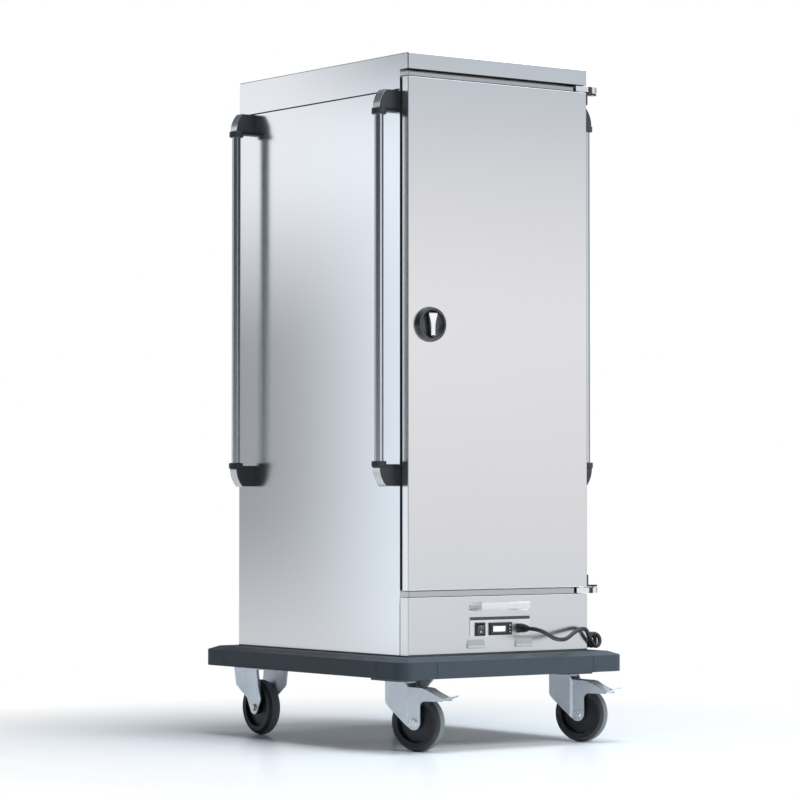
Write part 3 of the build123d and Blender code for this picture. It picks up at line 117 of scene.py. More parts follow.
def ramp(tree, value, stops):
    """Colour read by a value from (position, colour) stops."""
    made = node(tree, "ShaderNodeValToRGB")
    elements = made.color_ramp.elements
    while len(elements) < len(stops):
        elements.new(0.5)
    for element, (position, color) in zip(elements, stops):
        element.position = position
        element.color = (*color, 1.0)
    tree.links.new(value, made.inputs["Fac"])
    return made.outputs["Color"]


def joined(tree, kind, first, second):
    """Two values joined by a kind of arithmetic."""
    made = node(tree, "ShaderNodeMath", operation=kind)
    for socket, value in zip(made.inputs, (first, second)):
        tree.links.new(value, socket)
    return made.outputs["Value"]


def bump(tree, shader, value, strength, distance):
    """Fine relief on a shader's normal."""
    relief = node(tree, "ShaderNodeBump", Strength=strength, Distance=distance)
    tree.links.new(value, relief.inputs["Height"])
    tree.links.new(relief.outputs["Normal"], shader.inputs["Normal"])


def scaled(color, factor):
    """Colour times a factor, kept within one."""
    return [min(1.0, c * factor) for c in color]


# Kinds of material: scales are cycles in a metre, reliefs are metres

HAIR_ACROSS = 2400.0
HAIR_ALONG = 40.0
STEEL_CLOUD = (2.3, 2.3, 1.7)
STEEL_CONTRAST = 0.015
STEEL_VARY = 0.02
PLASTIC_CLOUD = (26.0, 26.0, 26.0)
PLASTIC_RELIEF = 0.0001
PLASTIC_SMOOTHER = 0.05
PLASTIC_ROUGHER = 0.07
ZINC_CRYSTAL = (170.0, 170.0, 170.0)
ZINC_CRYSTAL_EDGE = 0.9
ZINC_CLOUD = (60.0, 60.0, 60.0)
ZINC_DARK = 0.90
ZINC_LIGHT = 1.06
ZINC_RELIEF = 0.0003
ZINC_SMOOTHER = 0.05
ZINC_ROUGHER = 0.08


def brushed(name, color, grain, roughness=0.17):
    """Satin stainless with a very fine grain along one row axis and faint broad clouding."""
    made, tree, shader = material(name, color, 1.0, roughness, Anisotropic=0.2)
    fine = [HAIR_ACROSS] * 3
    fine[grain] = HAIR_ALONG
    hair = noise(tree, fine, detail=3.0, roughness=0.6)
    cloud = noise(tree, STEEL_CLOUD, detail=2.0, roughness=0.5)
    shade = tint(tree, cloud, scaled(color, 1.0 - STEEL_CONTRAST), scaled(color, 1.0 + STEEL_CONTRAST))
    tree.links.new(shade, shader.inputs["Base Color"])
    sheen = spread(tree, hair, roughness - STEEL_VARY, roughness + STEEL_VARY)
    tree.links.new(sheen, shader.inputs["Roughness"])
    return made


def moulded(name, color, roughness, grain=900.0, relief=0.12, lift=1.25, **sockets):
    """Moulded plastic or rubber with a fine texture and slight shade changes."""
    made, tree, shader = material(name, color, 0.0, roughness, **sockets)
    speckle = noise(tree, (grain, grain, grain), detail=2.0, roughness=0.5)
    cloud = noise(tree, PLASTIC_CLOUD, detail=3.0, roughness=0.6)
    tree.links.new(tint(tree, cloud, color, scaled(color, lift)), shader.inputs["Base Color"])
    sheen = spread(tree, cloud, roughness - PLASTIC_SMOOTHER, roughness + PLASTIC_ROUGHER)
    tree.links.new(sheen, shader.inputs["Roughness"])
    bump(tree, shader, speckle, relief, PLASTIC_RELIEF)
    return made


def galvanised(name, color, roughness):
    """Zinc-plated pressing with a soft crystalline mottling."""
    made, tree, shader = material(name, color, 0.7, roughness)
    crystal = node(tree, "ShaderNodeTexVoronoi", Scale=1.0)
    tree.links.new(coordinates(tree, ZINC_CRYSTAL), crystal.inputs["Vector"])
    cloud = noise(tree, ZINC_CLOUD, detail=3.0, roughness=0.6)
    shade = tint(tree, cloud, scaled(color, ZINC_DARK), scaled(color, ZINC_LIGHT))
    tree.links.new(shade, shader.inputs["Base Color"])
    sheen = spread(tree, crystal.outputs["Distance"], roughness - ZINC_SMOOTHER, roughness + ZINC_ROUGHER,
                   0.0, ZINC_CRYSTAL_EDGE)
    tree.links.new(sheen, shader.inputs["Roughness"])
    bump(tree, shader, cloud, 0.05, ZINC_RELIEF)
    return made


# Materials

STEEL = (0.77, 0.785, 0.805)

steel_side = brushed("steel_upright", STEEL, Z)
steel_level = brushed("steel_level", STEEL, X)
steel_plinth = brushed("steel_plinth", STEEL, X, roughness=0.23)
steel_plate = brushed("steel_plate", (0.88, 0.89, 0.90), X, roughness=0.32)
# Darker copy of the steel for the rails in the door gaps: painted shade
steel_rail_painted_shade = brushed("steel_dark", (0.56, 0.575, 0.60), X, roughness=0.30)
# Darker, cooler copy of the steel for the handle tubes: painted shade of the dark surroundings they mirror
steel_tube_painted_shade = brushed("steel_tube_painted_shade", (0.65, 0.70, 0.765), Z, roughness=0.24)
# Lighter copy of the steel for the inside of the finger recess: painted light
steel_recess_painted_light = brushed("steel_recess_painted_light", (0.95, 0.955, 0.96), X, roughness=0.30)
steel_bright = brushed("steel_bright", (0.95, 0.955, 0.96), X, roughness=0.22)
steel_inner = brushed("steel_inner", (0.60, 0.61, 0.62), Z, roughness=0.30)
zinc = galvanised("zinc_plate", (0.72, 0.775, 0.835), 0.34)
# Darkened copy of the zinc for the chassis and the castor plates: painted shade under the bumper
zinc_painted_shade = galvanised("zinc_painted_shade", (0.11, 0.115, 0.12), 0.50)
bolt = galvanised("bright_zinc", (0.80, 0.81, 0.82), 0.24)
slate = moulded("slate_plastic", (0.034, 0.045, 0.056), 0.48, Specular_IOR_Level=0.22)
black = moulded("black_plastic", (0.012, 0.013, 0.015), 0.38)
bracket = moulded("bracket_plastic", (0.020, 0.024, 0.028), 0.42)
rim = moulded("rim_plastic", (0.008, 0.010, 0.013), 0.42)
gloss = moulded("gloss_black", (0.022, 0.026, 0.031), 0.26, relief=0.03,
                Coat_Weight=0.5, Coat_Roughness=0.12)
silver = brushed("silver_trim", (0.64, 0.65, 0.69), Y, roughness=0.22)
window = moulded("pale_window", (0.80, 0.835, 0.83), 0.14, relief=0.0, lift=1.03, Coat_Weight=0.6)
rubber = moulded("black_rubber", (0.013, 0.013, 0.014), 0.55)
flex = moulded("flex_rubber", (0.013, 0.015, 0.019), 0.36, lift=1.5)
tyre = moulded("tyre_rubber", (0.020, 0.023, 0.028), 0.58, grain=500.0, relief=0.2)
# Lighter rubber for the tyres' tread band: painted light on the tread
tread = moulded("tyre_tread", (0.12, 0.13, 0.14), 0.62, grain=500.0, relief=0.2)
wool = moulded("wool_slab", (0.55, 0.50, 0.36), 0.95, grain=400.0, relief=0.6)
inlay = moulded("inlay_silver", (0.50, 0.51, 0.53), 0.32, relief=0.03, lift=1.04)
mark = moulded("pale_mark", (0.75, 0.76, 0.76), 0.5, relief=0.0, lift=1.02)

looks = {
    steel_side: ["side_panels", "rear_panel", "door_skin"],
    steel_level: ["top_cover"],
    steel_plinth: ["plinth_panel"],
    steel_plate: ["control_panel"],
    steel_rail_painted_shade: ["gap_rails"],
    steel_tube_painted_shade: ["handle_tubes"],
    steel_bright: ["hinge_arms"],
    steel_inner: ["front_frame", "liner_walls", "rack_uprights", "tray_runners", "door_liner", "heater_tray",
                  "latch_keeper", "heating_element"],
    zinc_painted_shade: ["chassis", "castor_plates"],
    zinc: ["fixed_forks", "swivel_fork_left", "swivel_fork_right",
           "brake_pedal_left", "brake_pedal_right", "latch_spindle"],
    bolt: ["fixed_axles", "swivel_axle_left", "swivel_axle_right", "plug_pins"],
    slate: ["bumper_profiles", "bumper_corners"],
    bracket: ["handle_brackets"],
    black: ["switch_housing", "thermostat", "cord_gland", "door_brackets", "key_set",
            "key_up", "key_down"],
    rim: ["front_rim_left", "front_rim_right", "rear_rim_left", "rear_rim_right"],
    gloss: ["latch_rosette", "switch_rocker", "latch_grip"],
    silver: ["handle_trims"],
    window: ["display_window"],
    rubber: ["door_gasket", "mains_plug"],
    tyre: ["front_tyre_left", "front_tyre_right", "rear_tyre_left", "rear_tyre_right"],
    wool: ["insulation", "door_core"],
    flex: ["cord_lead", "cord_coil", "cord_tail"],
}
for look, names in looks.items():
    for name in names:
        mesh = nodes[name].data
        mesh.materials.clear()
        mesh.materials.append(look)


# Faces of a node with another material: places in metres

TREAD_FROM = 0.0775
RAIL_END = -0.3145
COVER_LIP = -0.36
FACING_DOWN = -0.9
RECESS_DEPTH = -0.4145
RECESS_HALF = 0.110
RECESS_BOTTOM = 0.374
RECESS_TOP = 0.406


def second_look(name, look, chosen):
    """Another material on the chosen faces of a node."""
    mesh = nodes[name].data
    mesh.materials.append(look)
    for face in mesh.polygons:
        if chosen(face):
            face.material_index = len(mesh.materials) - 1


def in_recess(face):
    """Whether a face of the plinth lies inside the finger recess."""
    place = face.center
    return (place.y > RECESS_DEPTH and abs(place.x) < RECESS_HALF
            and RECESS_BOTTOM < place.z < RECESS_TOP)


# The tread band, beyond a radius from the hub, takes the lighter rubber: painted light
for name in looks[tyre]:
    low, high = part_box(name)
    hub = (low + high) / 2
    second_look(name, tread, lambda face: (face.center - hub).length > TREAD_FROM)
# Faces at the rails' left end take the inner steel instead of the rails' painted shade
second_look("gap_rails", steel_inner, lambda face: face.center.x < RAIL_END)
# The downward faces at the front of the cover take the black rubber: painted shade under the cover's front
# edge
second_look("top_cover", rubber, lambda face: face.normal.z < FACING_DOWN and face.center.y < COVER_LIP)
# Faces inside the finger recess take the lighter steel: painted light
second_look("plinth_panel", steel_recess_painted_light, in_recess)


# Mains lead: the route's points in metres, with the curly stretch as more points of the same spline

CORD_RADIUS = 0.00575
CORD_ORDER = 3
CORD_STEPS = 6
CORD_ROUNDNESS = 5
CURL_RADIUS = 0.0175
CURL_PITCH = 0.020
CURL_TURNS = 14
CURL_STEPS = 12
CURL_RUN_ON = 3
CURL_DROP = 0.006
CURL_START = Vector((0.342, -0.424, 0.28775))
CURL_LEAN = math.asin(CURL_DROP / (CURL_TURNS * CURL_PITCH))
CURL_FROM = math.radians(207.0)
LEAD_IN = 0.0258
LEAD = [(0.067, -0.455, 0.328), (0.067, -0.4725, 0.328), (0.074, -0.4885, 0.326), (0.0865, -0.5005, 0.320),
        (0.102, -0.505, 0.311), (0.1235, -0.5015, 0.3005), (0.1505, -0.4945, 0.296), (0.179, -0.483, 0.296),
        (0.206, -0.4685, 0.3025), (0.231, -0.454, 0.3105), (0.2555, -0.4425, 0.3175), (0.279, -0.435, 0.3225),
        (0.2995, -0.431, 0.3175)]
TAIL = [(0.361, -0.1371, 0.2641), (0.374, -0.130, 0.263), (0.3835, -0.1185, 0.2625), (0.3885, -0.1045, 0.262),
        (0.3895, -0.0865, 0.2625), (0.386, -0.0635, 0.265), (0.376, -0.039, 0.2695), (0.363, -0.013, 0.2745),
        (0.354, 0.009, 0.277), (0.351, 0.028, 0.2775), (0.351, 0.045, 0.2775)]


def curl_points():
    """Control points round the curly stretch, set out a little because the spline runs inside them."""
    axis = Vector((0.0, math.cos(CURL_LEAN), -math.sin(CURL_LEAN)))
    across = Vector((1.0, 0.0, 0.0))
    rise = Vector((0.0, math.sin(CURL_LEAN), math.cos(CURL_LEAN)))
    radius = CURL_RADIUS / math.cos(math.pi / CURL_STEPS)
    points = []
    for step in range(CURL_TURNS * CURL_STEPS + CURL_RUN_ON):
        angle = CURL_FROM + 2.0 * math.pi * step / CURL_STEPS
        ring = across * math.cos(angle) + rise * math.sin(angle)
        points.append(CURL_START + axis * (CURL_PITCH * step / CURL_STEPS) + ring * radius)
    return points


def lead_end(curl):
    """Point on the lead that brings it into the first turn."""
    way = (curl[1] - curl[0]).normalized()
    return curl[0] - way * LEAD_IN


def cord_curve(name, points, radius, look):
    """Round flex along a smooth spline."""
    data = bpy.data.curves.new(name, "CURVE")
    data.dimensions = "3D"
    spline = data.splines.new("NURBS")
    spline.points.add(len(points) - 1)
    for target, point in zip(spline.points, points):
        target.co = (*point, 1.0)
    spline.order_u = CORD_ORDER
    spline.use_endpoint_u = True
    spline.resolution_u = CORD_STEPS
    data.bevel_depth = radius
    data.bevel_resolution = CORD_ROUNDNESS
    data.materials.append(look)
    made = bpy.data.objects.new(name, data)
    scene.collection.objects.link(made)
    return made


curl = curl_points()
route = [Vector(p) for p in LEAD] + [lead_end(curl)] + curl + [Vector(p) for p in TAIL]
cord = cord_curve("mains_flex", route, CORD_RADIUS, flex)
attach(cord, "cabinet")
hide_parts("cord_lead", "cord_coil", "cord_tail")


# Mesh helpers for the small fittings

SMOOTH_ANGLE = math.radians(35.0)
CORNER_STEPS = 5


def finish_mesh(name, bm, look, body, smooth=True, bevel=0.0):
    """Object from a bmesh that rides on a body."""
    bmesh.ops.recalc_face_normals(bm, faces=bm.faces)
    mesh = bpy.data.meshes.new(name)
    bm.to_mesh(mesh)
    bm.free()
    mesh.materials.append(look)
    made = bpy.data.objects.new(name, mesh)
    scene.collection.objects.link(made)
    if bevel > 0.0:
        edge = made.modifiers.new("edge", "BEVEL")
        edge.width = bevel
        edge.segments = 2
        edge.limit_method = "ANGLE"
    for face in mesh.polygons:
        face.use_smooth = smooth
    if smooth:
        mesh.set_sharp_from_angle(angle=SMOOTH_ANGLE)
    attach(made, body)
    return made


def rounded(width, height, radius):
    """Corner-rounded rectangle about the origin."""
    points = []
    for turn, (sx, sy) in enumerate(((1, 1), (-1, 1), (-1, -1), (1, -1))):
        for step in range(CORNER_STEPS + 1):
            angle = math.radians(90.0 * turn + 90.0 * step / CORNER_STEPS)
            x = sx * (width / 2 - radius) + radius * math.cos(angle)
            y = sy * (height / 2 - radius) + radius * math.sin(angle)
            points.append((x, y))
    return points


def circle(radius, steps):
    """Points round a circle about the origin."""
    turns = [2.0 * math.pi * step / steps for step in range(steps)]
    return [(radius * math.cos(turn), radius * math.sin(turn)) for turn in turns]


def outline_verts(bm, outline, place, level):
    """Vertices of an outline in a place's XY plane at a level along its Z."""
    return [bm.verts.new(place @ Vector((x, y, level))) for x, y in outline]


def band(bm, first, second):
    """Faces between two closed rows of as many vertices."""
    count = len(first)
    for i in range(count):
        j = (i + 1) % count
        bm.faces.new((first[i], first[j], second[j], second[i]))


def prism(bm, outline, place, low, high):
    """Closed prism of an outline in a place's XY plane, from low to high along its Z."""
    bottom = outline_verts(bm, outline, place, low)
    top = outline_verts(bm, outline, place, high)
    band(bm, bottom, top)
    bm.faces.new(bottom[::-1])
    bm.faces.new(top)


def frame_ring(bm, outer, inner, place, low, high):
    """Closed ring between two outlines of as many points, from low to high along a place's Z."""
    corners = ((outer, low), (outer, high), (inner, high), (inner, low))
    rows = [outline_verts(bm, outline, place, level) for outline, level in corners]
    for first, second in zip(rows, rows[1:] + rows[:1]):
        band(bm, first, second)


def lathe(bm, profile, place, steps):
    """Closed turned form of an (r, z) profile, with its ends on the axis, about a place's Z axis."""
    rows = []
    for r, z in profile:
        row = outline_verts(bm, circle(r, steps) if r > 0.0 else [(0.0, 0.0)], place, z)
        rows.append(row)
    for below, above in zip(rows, rows[1:]):
        for i in range(steps):
            j = (i + 1) % steps
            corners = [below[i % len(below)], below[j % len(below)],
                       above[j % len(above)], above[i % len(above)]]
            unique = list(dict.fromkeys(corners))
            if len(unique) > 2:
                bm.faces.new(unique)


def facing(place, out, up=(0.0, 0.0, 1.0)):
    """Frame at a place with Z along out and Y as near to up as it can be."""
    z = Vector(out).normalized()
    x = Vector(up).cross(z).normalized()
    y = z.cross(x)
    turn = Matrix((x, y, z)).transposed().to_4x4()
    return Matrix.Translation(Vector(place)) @ turn


def front_of(name):
    """Frame in the middle of a node's foremost side, with the node's width and height."""
    low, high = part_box(name)
    middle = (low + high) / 2
    return facing((middle.x, low.y, middle.z), TO_FRONT), high.x - low.x, high.z - low.z


def surface(name, start, way):
    """Frame on a node's surface where a ray meets it."""
    found, place, normal, _ = nodes[name].ray_cast(Vector(start), Vector(way))
    if not found:
        raise RuntimeError("no surface of " + name)
    return facing(place, normal)


def add_box(bm, low, high):
    """Box between two corners."""
    outline = [(low[X], low[Y]), (high[X], low[Y]), (high[X], high[Y]), (low[X], high[Y])]
    prism(bm, outline, Matrix.Identity(4), low[Z], high[Z])


def add_box_pair(bm, low, high):
    """Box between two corners on the right, and its mirror on the left."""
    for side in SIDES:
        left, right = sorted((side * low[X], side * high[X]))
        add_box(bm, (left, low[Y], low[Z]), (right, high[Y], high[Z]))


# Small fittings that the solids leave to the scene, in metres

PRINT_LIFT = 0.00002
MARK_TOP = 0.00014
CONTROL_Z = 0.328

STRIP_WIDTH = 0.2086
STRIP_HEIGHT = 0.0088
STRIP_ROUND = 0.0018
STRIP_DROP = 0.0046
STRIP_THICKNESS = 0.0004


def control_strip():
    """Dark strip along the top of the control panel, left bare."""
    low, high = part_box("control_panel")
    place = facing((0.0, low.y, high.z - STRIP_DROP), TO_FRONT)
    bm = bmesh.new()
    prism(bm, rounded(STRIP_WIDTH, STRIP_HEIGHT, STRIP_ROUND), place, 0.0, STRIP_THICKNESS)
    finish_mesh("control_strip", bm, gloss, "cabinet", smooth=False)


ROCKER_X = -0.0705
ROCKER_MARK_RISE = 0.007
PROBE_Y = -0.6
LINE_WIDTH = 0.0010
LINE_HEIGHT = 0.0052
LINE_ROUND = 0.0004
RING_OUTER = 0.0027
RING_INNER = 0.0018
RING_STEPS = 24


def switch_marks():
    """Line and ring on the two halves of the rocker."""
    upper = surface("switch_rocker", (ROCKER_X, PROBE_Y, CONTROL_Z + ROCKER_MARK_RISE), TO_REAR)
    lower = surface("switch_rocker", (ROCKER_X, PROBE_Y, CONTROL_Z - ROCKER_MARK_RISE), TO_REAR)
    bm = bmesh.new()
    prism(bm, rounded(LINE_WIDTH, LINE_HEIGHT, LINE_ROUND), upper, PRINT_LIFT, MARK_TOP)
    outer = circle(RING_OUTER, RING_STEPS)
    inner = circle(RING_INNER, RING_STEPS)
    frame_ring(bm, outer, inner, lower, PRINT_LIFT, MARK_TOP)
    finish_mesh("switch_marks", bm, mark, "rocker", smooth=False)


DOT_RADIUS = 0.0013
DOT_STEPS = 16
ARROW_HALF = 0.0018
ARROW_BASE = 0.0012
ARROW_TIP = 0.0015


def key_marks():
    """Signs on the thermostat's keys: a dot and two arrowheads."""
    arrow_up = [(-ARROW_HALF, -ARROW_BASE), (ARROW_HALF, -ARROW_BASE), (0.0, ARROW_TIP)]
    arrow_down = [(-ARROW_HALF, ARROW_BASE), (0.0, -ARROW_TIP), (ARROW_HALF, ARROW_BASE)]
    signs = {"key_set": ("set_button", circle(DOT_RADIUS, DOT_STEPS)),
             "key_up": ("up_button", arrow_up),
             "key_down": ("down_button", arrow_down)}
    for name, (body, outline) in signs.items():
        place, _, _ = front_of(name)
        bm = bmesh.new()
        prism(bm, outline, place, PRINT_LIFT, MARK_TOP)
        finish_mesh(name + "_mark", bm, mark, body, smooth=False)


SURROUND_MARGIN = 0.0004
SURROUND_ACROSS = 0.0064
SURROUND_UPRIGHT = 0.0050
SURROUND_ROUND = 0.0010
SURROUND_TOP = 0.00012


def window_frame():
    """Dark surround printed inside the display's edge."""
    place, width, height = front_of("display_window")
    outer = rounded(width - SURROUND_MARGIN, height - SURROUND_MARGIN, SURROUND_ROUND)
    inner = rounded(width - SURROUND_ACROSS, height - SURROUND_UPRIGHT, SURROUND_ROUND)
    bm = bmesh.new()
    frame_ring(bm, outer, inner, place, PRINT_LIFT, SURROUND_TOP)
    finish_mesh("display_surround", bm, black, "cabinet", smooth=False)


FLAT_RADIUS = 0.0065
FLAT_HEIGHT = 0.0008
FLAT_PROFILE = [(0.0, 0.0), (1.0, 0.0), (1.0, 0.5), (0.94, 1.0), (0.42, 1.0), (0.40, 0.2), (0.0, 0.2)]
FLAT_STEPS = 24
PAN_RADIUS = 0.0045
PAN_HEIGHT = 0.0022
PAN_PROFILE = [(0.0, 0.0), (1.0, 0.0), (1.0, 0.3), (0.86, 0.72), (0.5, 0.96), (0.30, 1.0), (0.0, 0.45)]
PAN_STEPS = 20


def flat_screw(bm, place):
    """Countersunk screw head, almost flush, with a socket."""
    lathe(bm, [(r * FLAT_RADIUS, z * FLAT_HEIGHT) for r, z in FLAT_PROFILE], place, FLAT_STEPS)


def pan_screw(bm, place):
    """Domed screw head with a round recess."""
    lathe(bm, [(r * PAN_RADIUS, z * PAN_HEIGHT) for r, z in PAN_PROFILE], place, PAN_STEPS)


SWIVEL_PLATE = (0.288, -0.342)
SWIVEL_HOLES = (0.040, 0.0525)
FIXED_PLATE = (0.270, 0.365)
FIXED_HOLES = (0.032, 0.057)
PLATE_UNDERSIDE = 0.192


def castor_screws():
    """Screws through the castor plates into the chassis."""
    bm = bmesh.new()
    for side in SIDES:
        for (x, y), (dx, dy) in ((SWIVEL_PLATE, SWIVEL_HOLES), (FIXED_PLATE, FIXED_HOLES)):
            for across in (-dx, dx):
                for along in (-dy, dy):
                    flat_screw(bm, facing((side * x + across, y + along, PLATE_UNDERSIDE), DOWN, TO_REAR))
    made = finish_mesh("castor_screws", bm, zinc, "cabinet")


REAR_SCREW_X = 0.278
REAR_SCREW_BOTTOM = 0.300
REAR_SCREW_PITCH = 0.245
REAR_SCREW_COUNT = 7
REAR_ROW_XS = (-0.18, 0.0, 0.18)
REAR_ROW_ZS = (0.285, 1.782)


def rear_screws():
    """Screws that hold the rear panel to the returns of the side panels."""
    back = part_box("rear_panel")[1].y
    spots = []
    for side in SIDES:
        for step in range(REAR_SCREW_COUNT):
            spots.append((side * REAR_SCREW_X, back, REAR_SCREW_BOTTOM + step * REAR_SCREW_PITCH))
    for x in REAR_ROW_XS:
        for z in REAR_ROW_ZS:
            spots.append((x, back, z))
    bm = bmesh.new()
    for spot in spots:
        pan_screw(bm, facing(spot, TO_REAR))
    made = finish_mesh("rear_screws", bm, bolt, "cabinet")


SLEEVE_LOW = (0.3225, -0.4158)
SLEEVE_HIGH = (0.3355, -0.3902)
SLEEVE_OVER = 0.0006
SLEEVE_ROUND = 0.0006
ARM_THICKNESS = 0.015
ARM_BOTTOMS = (("lower", 0.4205), ("upper", 1.8415))


def hinge_sleeves():
    """Dark bush on each hinge arm beside the eye."""
    for name, bottom in ARM_BOTTOMS:
        top = bottom + ARM_THICKNESS
        bm = bmesh.new()
        add_box(bm, (*SLEEVE_LOW, bottom - SLEEVE_OVER), (*SLEEVE_HIGH, top + SLEEVE_OVER))
        made = finish_mesh("hinge_sleeve_" + name, bm, black, "cabinet", smooth=False, bevel=SLEEVE_ROUND)


INLAY_HALF_LENGTH = 0.0300
INLAY_TOP_HALF = 0.0146
INLAY_NARROWING = 0.0080
INLAY_WAIST = 0.62
INLAY_CURVE = 1.4
INLAY_STEPS = 14
INLAY_THICKNESS = 0.0006
INLAY_ROUND = 0.0003


def grip_inlay():
    """Pale tapered plate with waisted sides on the face of the latch grip."""
    outline = []
    for step in range(INLAY_STEPS + 1):
        t = step / INLAY_STEPS
        taper = math.sin(min(1.0, t / INLAY_WAIST) * math.pi / 2) ** INLAY_CURVE
        half_width = INLAY_TOP_HALF - INLAY_NARROWING * taper
        outline.append((half_width, INLAY_HALF_LENGTH - 2 * INLAY_HALF_LENGTH * t))
    outline += [(-x, y) for x, y in reversed(outline)]
    place, _, _ = front_of("latch_grip")
    bm = bmesh.new()
    prism(bm, outline, place, PRINT_LIFT, INLAY_THICKNESS)
    made = finish_mesh("grip_inlay", bm, inlay, "latch", smooth=False, bevel=INLAY_ROUND)


JOINT_SHADE_BOTTOM = 1.8042
JOINT_SHADE_TOP = 1.8078
JOINT_SHADE_INNER = 0.3055
JOINT_SHADE_OUTER = 0.3128
JOINT_SHADE_FRONT = -0.370
JOINT_SHADE_BACK = 0.4125
REAR_JOINT_SHADE_HALF = 0.305
REAR_JOINT_SHADE_FRONT = 0.4055


def cover_joint_shade():
    """Black strip behind the joint between the cover and the walls below it: painted shade along the joint.
    """
    bm = bmesh.new()
    add_box_pair(bm, (JOINT_SHADE_INNER, JOINT_SHADE_FRONT, JOINT_SHADE_BOTTOM), (JOINT_SHADE_OUTER, JOINT_SHADE_BACK, JOINT_SHADE_TOP))
    add_box(bm, (-REAR_JOINT_SHADE_HALF, REAR_JOINT_SHADE_FRONT, JOINT_SHADE_BOTTOM), (REAR_JOINT_SHADE_HALF, JOINT_SHADE_BACK, JOINT_SHADE_TOP))
    made = finish_mesh("cover_joint_shade", bm, rubber, "cabinet", smooth=False)


SEAM_Y = -0.3775
SEAM_HALF = 0.0012
SEAM_INNER = 0.3149
SEAM_OUTER = 0.3153
SEAM_BOTTOM = 0.2512
SEAM_TOP = 0.4060


def plinth_seams():
    """Dark sealant along the joint between the plinth's returns and the side panels."""
    bm = bmesh.new()
    add_box_pair(bm, (SEAM_INNER, SEAM_Y - SEAM_HALF, SEAM_BOTTOM),
                 (SEAM_OUTER, SEAM_Y + SEAM_HALF, SEAM_TOP))
    made = finish_mesh("plinth_seams", bm, rubber, "cabinet", smooth=False)


for job in (control_strip, switch_marks, key_marks, window_frame, castor_screws, rear_screws, hinge_sleeves,
            grip_inlay, cover_joint_shade, plinth_seams):
    job()


# Floor and sky

FLOOR_HALF = 40.0
FLOOR_COLOR = (0.805, 0.862, 0.92)
FOOTPRINT = (0.39, 0.49, 0.0)
FADE_FROM = 0.15
FADE_TO = 1.3
FLOOR_GLOW = 0.74
WHITE = (1.0, 1.0, 1.0, 1.0)


def flat_sheet(name, low, high, look):
    """Upright or level rectangle of the studio between two opposite corners."""
    first, second = [axis for axis in (X, Y, Z) if low[axis] != high[axis]]
    corners = [list(low), list(low), list(high), list(low)]
    corners[1][first] = high[first]
    corners[3][second] = high[second]
    mesh = bpy.data.meshes.new(name)
    mesh.from_pydata(corners, [], [(0, 1, 2, 3)])
    mesh.materials.append(look)
    made = bpy.data.objects.new(name, mesh)
    scene.collection.objects.link(made)
    return made


def beyond_footprint(tree):
    """Distance on the floor from the rectangle that the object stands over."""
    place = node(tree, "ShaderNodeTexCoord")
    apart = node(tree, "ShaderNodeVectorMath", operation="ABSOLUTE")
    beyond = node(tree, "ShaderNodeVectorMath", operation="SUBTRACT")
    beyond.inputs[1].default_value = FOOTPRINT
    outside = node(tree, "ShaderNodeVectorMath", operation="MAXIMUM")
    outside.inputs[1].default_value = (0.0, 0.0, 0.0)
    length = node(tree, "ShaderNodeVectorMath", operation="LENGTH")
    tree.links.new(place.outputs["Object"], apart.inputs[0])
    for source, target in ((apart, beyond), (beyond, outside), (outside, length)):
        tree.links.new(source.outputs["Vector"], target.inputs[0])
    return length.outputs["Value"]


def mixed(tree, factor, first, second, output):
    """Two shaders mixed by a factor into the tree's output."""
    mix = node(tree, "ShaderNodeMixShader")
    tree.links.new(factor, mix.inputs["Fac"])
    tree.links.new(first, mix.inputs[1])
    tree.links.new(second, mix.inputs[2])
    tree.links.new(mix.outputs["Shader"], tree.nodes[output].inputs["Surface"])


def stage_floor():
    """Pale floor that turns to plain white away from the object."""
    made, tree, shader = material("pale_floor", FLOOR_COLOR, 0.0, 0.22, Specular_IOR_Level=0.35)
    fade = spread(tree, beyond_footprint(tree), 0.0, 1.0, FADE_FROM, FADE_TO)
    seen = node(tree, "ShaderNodeLightPath").outputs["Is Camera Ray"]
    white = node(tree, "ShaderNodeEmission", Color=WHITE)
    tree.links.new(spread(tree, seen, FLOOR_GLOW, 1.0, 0.0, 1.0), white.inputs["Strength"])
    mixed(tree, fade, shader.outputs["BSDF"], white.outputs["Emission"], "Material Output")
    floor = flat_sheet("floor", (-FLOOR_HALF, -FLOOR_HALF, 0.0), (FLOOR_HALF, FLOOR_HALF, 0.0), made)


SKY_STOPS = [(0.0, (0.52, 0.55, 0.58)), (0.25, (0.40, 0.43, 0.46)), (0.55, (0.26, 0.28, 0.31)),
             (0.78, (0.26, 0.28, 0.31)), (1.0, (2.1, 2.15, 2.2))]
SKY_STRENGTH = 0.62
SHADE_STRENGTH = 0.06
SHADE_WAY = (-0.86, -0.51, 0.0)
SHADE_FROM = 0.40
SHADE_TO = 0.80


def stage_world():
    """Soft sky: plain white to the camera, else graded by height and dark on the camera's left."""
    world = bpy.data.worlds.new("studio")
    scene.world = world
    world.use_nodes = True
    tree = world.node_tree
    sky = tree.nodes["Background"]
    place = node(tree, "ShaderNodeTexCoord")
    parts = node(tree, "ShaderNodeSeparateXYZ")
    tree.links.new(place.outputs["Generated"], parts.inputs["Vector"])
    tree.links.new(ramp(tree, parts.outputs["Z"], SKY_STOPS), sky.inputs["Color"])
    toward = node(tree, "ShaderNodeVectorMath", operation="DOT_PRODUCT")
    toward.inputs[1].default_value = SHADE_WAY
    tree.links.new(place.outputs["Generated"], toward.inputs[0])
    strength = spread(tree, toward.outputs["Value"], SKY_STRENGTH, SHADE_STRENGTH, SHADE_FROM, SHADE_TO)
    tree.links.new(strength, sky.inputs["Strength"])
    plain = node(tree, "ShaderNodeBackground", Color=WHITE, Strength=1.0)
    seen = node(tree, "ShaderNodeLightPath").outputs["Is Camera Ray"]
    mixed(tree, seen, sky.outputs["Background"], plain.outputs["Background"], "World Output")


